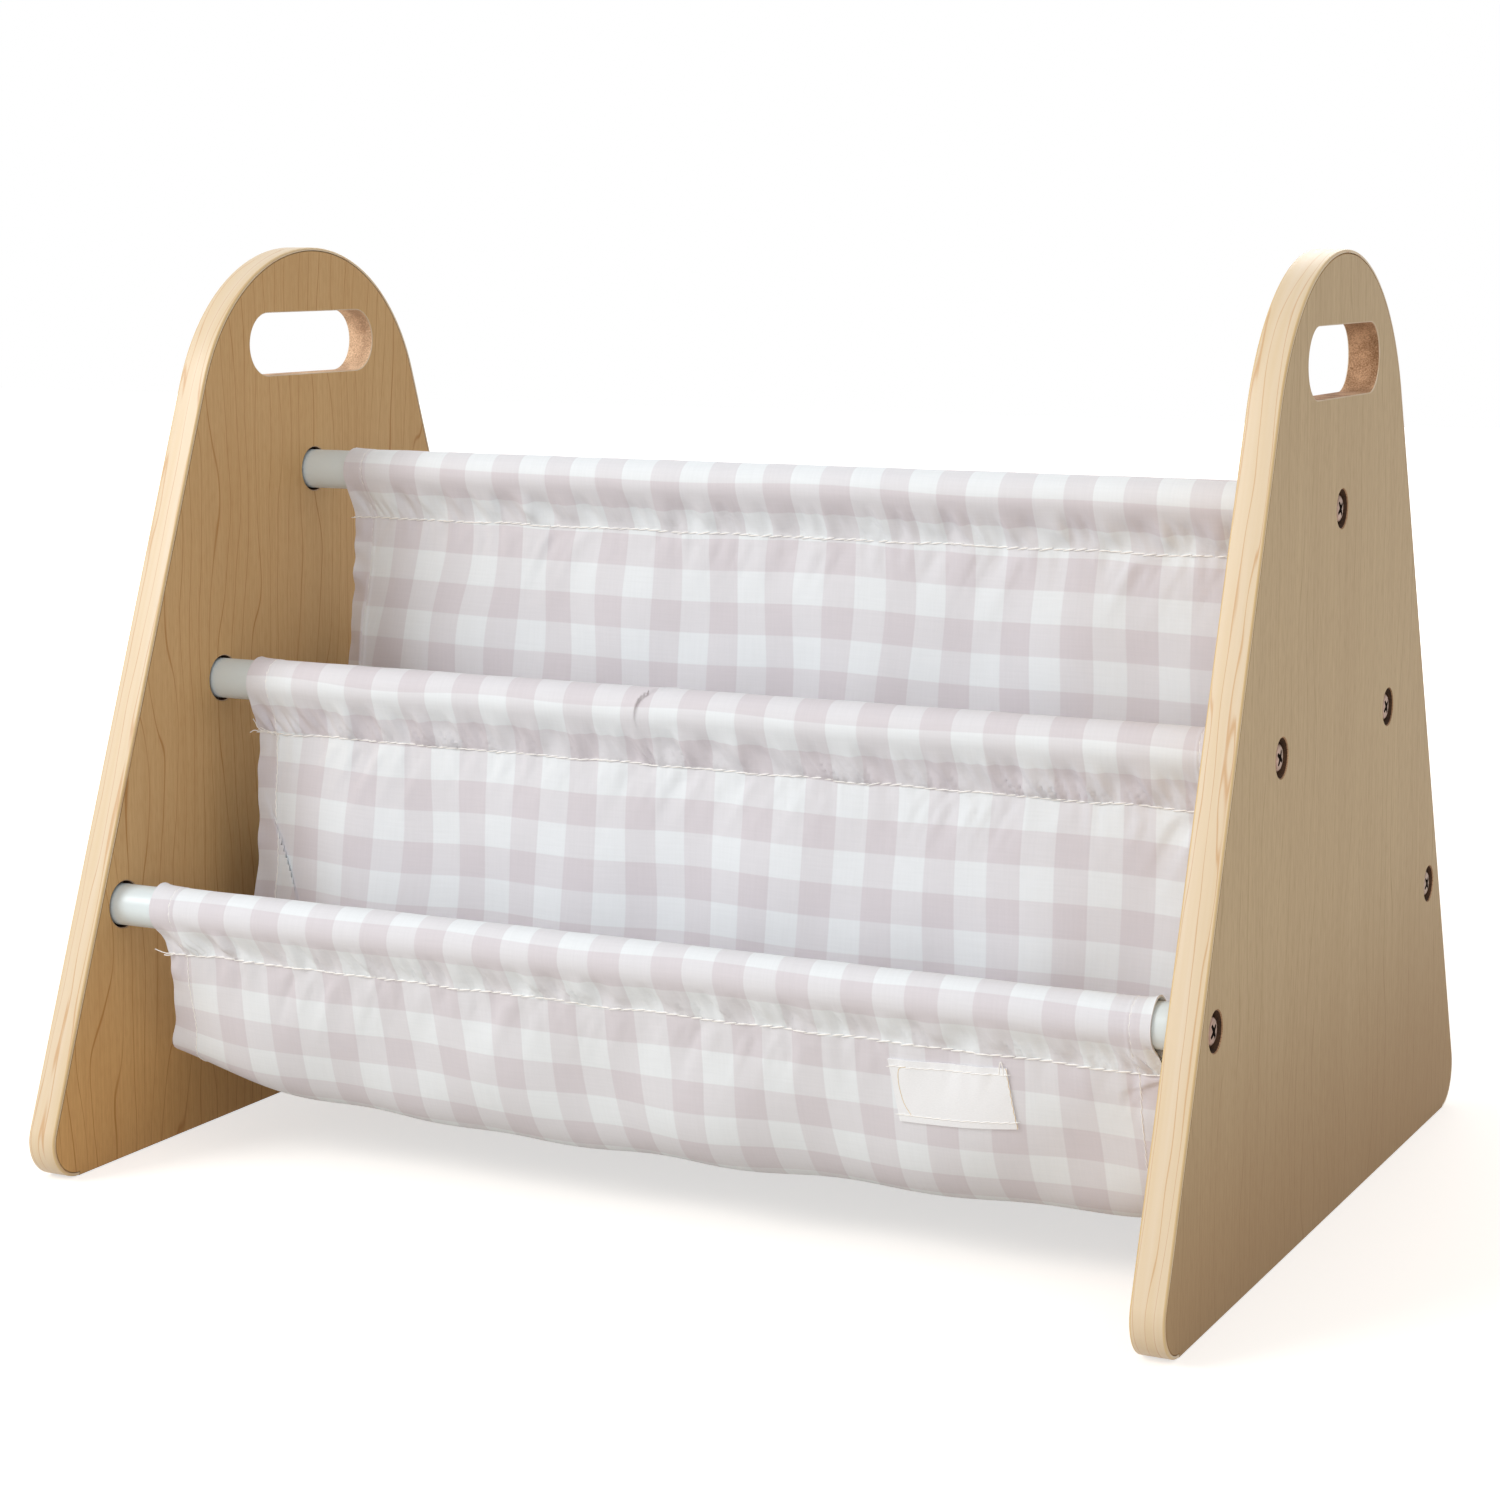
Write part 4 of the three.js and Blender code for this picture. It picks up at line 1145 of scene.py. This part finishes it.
# Rows are counted along the whole cloth from the low front seam, so that the checks run on from
# piece to piece. On the visible side under each front seam a row starts at the seam.
pocket_lengths = {}
for pocket in POCKETS:
    _, _, first, last, _ = pocket_hang(pocket, np.array([(sling_left + sling_right) / 2]))
    pocket_lengths[pocket] = float((last - first)[0])
pocket_rows = {pocket: length / CHECK_PITCH for pocket, length in pocket_lengths.items()}
sleeve_rows = {place: 2 * sections[place][2][-1] / CHECK_PITCH for place in TUBE_PLACES}
row_mid_front = 2 * round(pocket_rows["low_front"] / 2)
row_behind_mid = row_mid_front + sleeve_rows["mid_front"]
row_top = 2 * round((row_behind_mid + pocket_rows["high_front"] - 1) / 2) + 1
row_behind_top = row_top + sleeve_rows["top"]
row_mid_back = row_behind_top + pocket_rows["high_back"]
row_behind_mid_back = row_mid_back + sleeve_rows["mid_back"]
row_low_back = row_behind_mid_back + pocket_rows["low_back"]
POCKET_ROW_ENDS = {
    "low_front": (0, row_mid_front), "high_front": (row_behind_mid, row_top),
    "high_back": (row_mid_back, row_behind_top), "low_back": (row_low_back, row_behind_mid_back),
}
SLEEVE_ROW_STARTS = {
    "low_front": (0, -1), "mid_front": (row_mid_front, 1), "top": (row_top, 1),
    "mid_back": (row_mid_back, 1), "low_back": (row_low_back + sleeve_rows["low_back"], -1),
}

# The columns of points stand closer together about the side hems
hems = [SIDE_HEM - 1.5 * MM, SIDE_HEM + 7 * MM, cloth_width - SIDE_HEM + 1.5 * MM]
for place in TUBE_PLACES:
    spots = hems + ([LAP_X - sling_left] if place == "mid_front" else [])
    sleeve_x = sling_left + crowded(cloth_width, SLEEVE_COLUMNS, spots, 5 * MM)
    grid, along = sleeve_grid(place, sleeve_x)
    start_row, way = SLEEVE_ROW_STARTS[place]
    x = sleeve_x[:, None]
    rows = start_row + way * along / CHECK_PITCH + row_wave(x, place)
    if place == "top":
        rows = rows + TOP_ROW_DRIFT * (x - sling_left) / cloth_width
    columns = checks_across(x, along, place_seed(place, 71), SLEEVE_SLIDES.get(place, NOT_SLID))
    sleeve = closed_sheet(f"cloth_sleeve_{place}", grid, outward_on_sleeve(grid), CLOTH / 2,
                          hem_thickness(x) - CLOTH / 2, (hemmed(x, columns), rows), gingham)
    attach(sleeve, "root")
    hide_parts(f"sling_sleeve_{place}")

x = sling_left + crowded(cloth_width, POCKET_COLUMNS, hems, 5 * MM)[:, None]
for pocket, (outer, inner, side) in POCKETS.items():
    _, _, first, last, _ = pocket_hang(pocket, x)
    length, to_bottom = float((last - first).mean()), float(-first.mean())
    falls = crowded(length, POCKET_ROWS, (0, to_bottom, length), 15 * MM)[None, :]
    falls = falls * (last - first) / length
    grid = pocket_grid(pocket, x, falls)
    outer_row, inner_row = POCKET_ROW_ENDS[pocket]
    way = 1 if inner_row > outer_row else -1
    slack = inner_row - outer_row - way * (last - first) / CHECK_PITCH
    past_bottom = step(first + falls, ROW_SOFTNESS)
    rows = outer_row + way * falls / CHECK_PITCH + slack * past_bottom
    rows = rows + row_wave(x, outer) * (1 - past_bottom) + row_wave(x, inner) * past_bottom
    if pocket.startswith("high"):
        rows = rows + TOP_ROW_DRIFT * (x - sling_left) / cloth_width * past_bottom
    rows = rows - HEM_ROW_SLIP * past_bottom * (x < sling_left + HEM_STITCH_IN)
    outer_columns, inner_columns = (
        checks_across(x, falls, place_seed(outer, 72), WALL_SLIDES.get(seam, NOT_SLID))
        for seam in (outer, inner))
    at_seam, far_down = LEFT_LEANS.get(inner, NOT_SLID)
    leant = at_seam + (far_down - at_seam) * np.minimum((last - first - falls) / LEAN_FALL, 1.2)
    inner_columns = inner_columns + leant * near_left(x, LEAN_REACH) / CHECK_PITCH
    columns = outer_columns + (inner_columns - outer_columns) * past_bottom
    normals = surface_normals(grid)
    normals = -normals if normals[0, 1, 1] * side > 0 else normals
    panel = closed_sheet(f"cloth_pocket_{pocket}", grid, normals, hem_thickness(x) - CLOTH / 2,
                         CLOTH / 2, (hemmed(x, columns), rows), gingham)
    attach(panel, "root")
    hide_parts(f"sling_pocket_{pocket}")

# Label
# A plain strip of white cotton tape, turned in at its top and bottom and sewn flat on the
# outside of the low front pocket along both. It is left bare.
LABEL_LEFT = 137 * MM
LABEL_WIDTH = 55 * MM
LABEL_LEAN = 3.4 * MM
LABEL_DROPS = (7.4 * MM, 5.2 * MM)
LABEL_HEIGHTS = (29 * MM, 27.2 * MM)
LABEL_THICKNESS = 0.7 * MM
LABEL_ROOM = 0.15 * MM
LABEL_COLUMNS = 90
LABEL_ROWS = 46
# Woven tape, bleached: fine ribs along it in low relief
label_cotton = mottled("white_cotton_tape", "#fafbfd", "#eeeff1", (1.2, 0.4), uv=True,
                       relief=(0.3, 0.2), Roughness=0.9, Sheen_Weight=0.1)


def label_surface(across, down):
    """Points on the low front pocket under the label, from its shares across and down."""
    x = LABEL_LEFT + LABEL_WIDTH * across + LABEL_LEAN * down
    top, height = (left + (right - left) * across for left, right in (LABEL_DROPS, LABEL_HEIGHTS))
    return pocket_grid("low_front", x, top + height * down)


across, down = np.meshgrid(np.linspace(0, 1, LABEL_COLUMNS), np.linspace(0, 1, LABEL_ROWS),
                           indexing="ij")
label_points = label_surface(across, down)
label_normals = surface_normals(label_points)
if label_normals[0, 0, 1] > 0:
    label_normals = -label_normals
label_foot = CLOTH / 2 + LABEL_ROOM
label_top = label_foot + LABEL_THICKNESS
label = closed_sheet("cotton_label", label_points, label_normals, -label_foot, label_top,
                     (across * LABEL_WIDTH, down * LABEL_HEIGHTS[0]), label_cotton)
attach(label, "root")
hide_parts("label")

# Stitching
# White-cream twisted polyester thread in lockstitch: one run along each seam, through both layers,
# one down each side hem, and one along the label's top and bottom. Each stitch is a short plump
# dash that leans a little with the thread's twist.
THREAD = 0.8 * MM
FINE_THREAD = 0.5 * MM
# On the sleeves and on the wall under the top tube the hems' stitches lie deep in the cloth
DRAWN_IN = 0.2 * MM
SEAM_STITCH_PITCH = 5.7 * MM
HEM_STITCH_PITCH = 4.2 * MM
LABEL_STITCH_PITCH = 4.4 * MM
STITCH_SHARE = 1.3
STITCH_SLANT = math.radians(8)
LABEL_STITCH_IN_SHARE = 0.11
SEAM_END_GAP = 1.2 * MM
SMALL = 0.05 * MM
LINE_STEPS = 260
# Plied thread: bright, and creamy where its plies turn away
polyester_thread = mottled("twisted_polyester_thread", "#ffffff", "#f6f2ea", 1.5, 1,
                           Roughness=0.6, Sheen_Weight=0.2)


def stitch_grower():
    """The tree that lays stitches along lines, flat on the cloth, each leaning a little."""
    tree, given = grower_tree("stitches_along_lines", Pitch="Float", Length="Float",
                              Thread="Float", Slant="Float", Finish="Material")
    lines = add_node(tree, "GeometryNodeMeshToCurve", {"Mesh": given["Geometry"]})
    paced = add_node(tree, "GeometryNodeResampleCurve", {
        "Curve": lines, "Length": given["Pitch"]}, mode="LENGTH")
    along = add_node(tree, "FunctionNodeAlignRotationToVector", {
        "Vector": add_node(tree, "GeometryNodeInputTangent")}, axis="Z")
    flat = add_node(tree, "FunctionNodeAlignRotationToVector", {
        "Rotation": along, "Vector": named_attribute(tree, "facing", "FLOAT_VECTOR")},
        axis="X", pivot_axis="Z")
    uneven = add_node(tree, "FunctionNodeRandomValue", {"Min": 0.4, "Max": 1.6, "Seed": 4},
                      data_type="FLOAT")
    leaning = add_node(tree, "FunctionNodeAxisAngleToRotation", {
        "Axis": (1, 0, 0), "Angle": maths(tree, "MULTIPLY", given["Slant"], uneven)})
    leant = add_node(tree, "FunctionNodeRotateRotation", {
        "Rotation": flat, "Rotate By": leaning}, rotation_space="LOCAL")
    dash = add_node(tree, "GeometryNodeMeshUVSphere", {"Segments": 6, "Rings": 6, "Radius": 0.5})
    size = add_node(tree, "ShaderNodeCombineXYZ", {
        0: given["Thread"], 1: given["Thread"], 2: given["Length"]})
    dash = add_node(tree, "GeometryNodeTransform", {"Geometry": dash, "Scale": size})
    dash = add_node(tree, "GeometryNodeSetShadeSmooth", {"Geometry": dash})
    sewn = add_node(tree, "GeometryNodeInstanceOnPoints", {
        "Points": paced, "Instance": dash, "Rotation": leant})
    add_node(tree, "NodeGroupOutput", {
        "Geometry": painted(tree, realized(tree, sewn), given["Finish"])})
    return tree


stitch_tree = stitch_grower()


def line_piece(name, lines, finish):
    """A piece of edges along lines, each given by its points."""
    points, edges = [], []
    for line in lines:
        edges += [(i, i + 1) for i in range(len(points), len(points) + len(line) - 1)]
        points += np.asarray(line).tolist()
    return new_piece(name, points, [], [finish], edges=edges)


def stitch(name, lines, pitch, thread):
    """Stitches along lines, each given by its points and the cloth's normals there."""
    piece = line_piece(name, [points for points, _ in lines], polyester_thread)
    set_vectors(piece, "facing", np.concatenate([facing for _, facing in lines]))
    grown_by(piece, stitch_tree, Pitch=pitch, Length=pitch * STITCH_SHARE, Thread=thread,
             Slant=STITCH_SLANT, Finish=polyester_thread)
    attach(piece, "root")


def sleeve_line(place, xs, back):
    """A line just above a sleeve's seam on its outer face, on the front layer or the back one."""
    grid, _ = sleeve_grid(place, xs)
    first, second = (-1, -2) if back else (0, 1)
    points = 0.75 * grid[:, first] + 0.25 * grid[:, second]
    facing = outward_on_sleeve(grid)[:, second]
    return points + facing * (hem_thickness(xs)[:, None] - CLOTH / 2 + THREAD / 4), facing


def pocket_line(pocket, xs, falls, inside):
    """A line on one face of a pocket."""
    points = pocket_grid(pocket, xs, falls)
    along = pocket_grid(pocket, xs + SMALL, falls) - points
    down = pocket_grid(pocket, xs, falls + SMALL) - points
    facing = np.cross(along, down) * -POCKETS[pocket][2]
    facing = facing / np.linalg.norm(facing, axis=1, keepdims=True)
    if not inside:
        return points + facing * (CLOTH / 2 + FINE_THREAD / 6), facing
    proud = -DRAWN_IN if pocket == "high_front" else FINE_THREAD / 6
    return points - facing * (hem_thickness(xs)[:, None] - CLOTH / 2 + proud), -facing


seam_xs = np.linspace(sling_left + SEAM_END_GAP, sling_right - SEAM_END_GAP, LINE_STEPS)
seam_runs = [sleeve_line(place, seam_xs, back) for place in TUBE_PLACES for back in (False, True)]
stitch("seam_stitches", seam_runs, SEAM_STITCH_PITCH, THREAD)

hem_runs = []
for hem_x in (sling_left + HEM_STITCH_IN, sling_right - HEM_STITCH_IN):
    for pocket in POCKETS:
        falls = np.linspace(2 * MM, pocket_lengths[pocket] - 4 * MM, LINE_STEPS)
        xs = hem_x + 0.25 * MM * ripples(falls, 5, 40 * MM)
        hem_runs += [pocket_line(pocket, xs, falls, inside) for inside in (False, True)]
    for place in TUBE_PLACES:
        grid, _ = sleeve_grid(place, hem_x + np.array([-1, 0, 1]) * MM)
        facing = outward_on_sleeve(grid)[1, 1:-1]
        drawn_in = hem_thickness(hem_x) - CLOTH / 2 - DRAWN_IN
        hem_runs.append((grid[1, 1:-1] + facing * drawn_in, facing))
stitch("hem_stitches", hem_runs, HEM_STITCH_PITCH, FINE_THREAD)

label_runs = []
for row_share in (LABEL_STITCH_IN_SHARE, 1 - LABEL_STITCH_IN_SHARE):
    points = label_surface(np.linspace(0.02, 0.98, 60)[:, None],
                           row_share + np.array([[-0.01, 0, 0.01]]))
    facing = -surface_normals(points)[:, 1]
    label_runs.append((points[:, 1] + facing * (label_top + FINE_THREAD / 6), facing))
stitch("label_stitches", label_runs, LABEL_STITCH_PITCH, FINE_THREAD)

# Loose threads
# The ends of the same thread stand off where seams begin and end: a knot and tails at the left of
# the middle front seam, a tail at the low one, and a small loop on the label's corner. A finer tan
# thread runs in a curve inside the label's left end and overlocks its right one.
tan_thread = mottled("tan_overlock_thread", "#efdfc2", "#dcc39a", 1.2, 1, Roughness=0.6,
                     Sheen_Weight=0.2)

thread_tree, given = grower_tree("thread_along_lines", Thread="Float", Finish="Material")
lines = add_node(thread_tree, "GeometryNodeMeshToCurve", {"Mesh": given["Geometry"]})
section = add_node(thread_tree, "GeometryNodeCurvePrimitiveCircle", {
    "Resolution": 6, "Radius": maths(thread_tree, "MULTIPLY", given["Thread"], 0.5)})
spun = add_node(thread_tree, "GeometryNodeCurveToMesh", {
    "Curve": lines, "Profile Curve": section, "Fill Caps": True})
add_node(thread_tree, "NodeGroupOutput", {
    "Geometry": painted(thread_tree, realized(thread_tree, spun), given["Finish"])})


def thread_piece(name, lines, thread, finish):
    """Lengths of thread, each given by its points."""
    piece = line_piece(name, lines, finish)
    grown_by(piece, thread_tree, Thread=thread, Finish=finish)
    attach(piece, "root")


def rounded(corners, steps=8):
    """A smooth line through corner points."""
    corners = np.asarray(corners)
    padded = np.concatenate([2 * corners[:1] - corners[1:2], corners,
                             2 * corners[-1:] - corners[-2:-1]])
    line = []
    for a, b, c, d in zip(padded, padded[1:], padded[2:], padded[3:]):
        for t in np.arange(steps) / steps:
            line.append(0.5 * (2 * b + (c - a) * t + (2 * a - 5 * b + 4 * c - d) * t ** 2
                               + (3 * b - a - 3 * c + d) * t ** 3))
    return np.array(line + [corners[-1]])


def off_seam(place, corners):
    """A line from the left end of a front seam: millimetres along, off the cloth and up."""
    start, _ = sleeve_line(place, sling_left + np.array([0, 1]) * MM, False)
    return rounded(start[0] + np.asarray(corners) * [1, -1, 1] * MM)


knot = [(9.5 + 1.8 * math.cos(2 * turn), 0.6 + 0.3 * math.sin(3 * turn),
         0.8 * math.sin(2 * turn + 0.5)) for turn in np.linspace(0, 4 * QUARTER, 8)]
MID_TAILS = [
    [(9, 0.7, 0.2), (5, 0.9, 1.1), (1, 1.2, 0.4), (-2, 1.6, 0.7), (-4.5, 1.5, -0.6)],
    [(8, 0.8, 0), (3, 1.1, 1.8), (0, 1.5, 3.6), (-2.5, 1.6, 6.5)],
    [(9, 0.6, 0.3), (4, 0.7, 0.3), (0, 0.9, 2), (-1.2, 1.3, 4.4)],
    [(11, 0.6, 0), (12.6, 1, -1.4), (12.4, 1.2, -3)],
    knot,
]
LOW_TAILS = [
    [(5, 0.6, 0), (2, 0.7, 0.5), (-1, 0.9, 0.2), (-4.5, 1.2, 0.9), (-7.5, 1.0, 1.6)],
    [(3, 0.6, 0), (0, 0.8, -0.8), (-2.2, 1, -0.7)],
]
tails = [off_seam("mid_front", tail) for tail in MID_TAILS]
tails += [off_seam("low_front", tail) for tail in LOW_TAILS]
thread_piece("seam_tails", tails, FINE_THREAD, polyester_thread)


def on_label(spots):
    """A line on the label's face, from shares across and down."""
    shares = rounded(spots)
    step_share = 0.004
    steps = step_share * np.array([-1, 0, 1])
    points = label_surface(shares[:, 0, None], shares[:, 1, None] + steps)
    side = label_surface(shares[:, 0, None] + step_share, shares[:, 1, None])[:, 0] - points[:, 1]
    facing = np.cross(points[:, 2] - points[:, 0], side)
    facing = facing / np.linalg.norm(facing, axis=1, keepdims=True)
    return points[:, 1] + facing * np.where(facing[:, 1:2] > 0, -1, 1) * label_top


overlock = [on_label([(0.15, 0.1), (0.08, 0.16), (0.055, 0.4), (0.07, 0.7), (0.12, 0.9)]),
            on_label([(0.992 + 0.006 * (i % 2), i / 14) for i in range(15)])]
thread_piece("label_overlock", overlock, FINE_THREAD * 0.7, tan_thread)
loop = [on_label([(0.93, 0.1), (0.95, -0.06), (0.965, -0.1), (0.97, 0.02), (0.96, 0.14)])]
thread_piece("label_loop", loop, FINE_THREAD, polyester_thread)
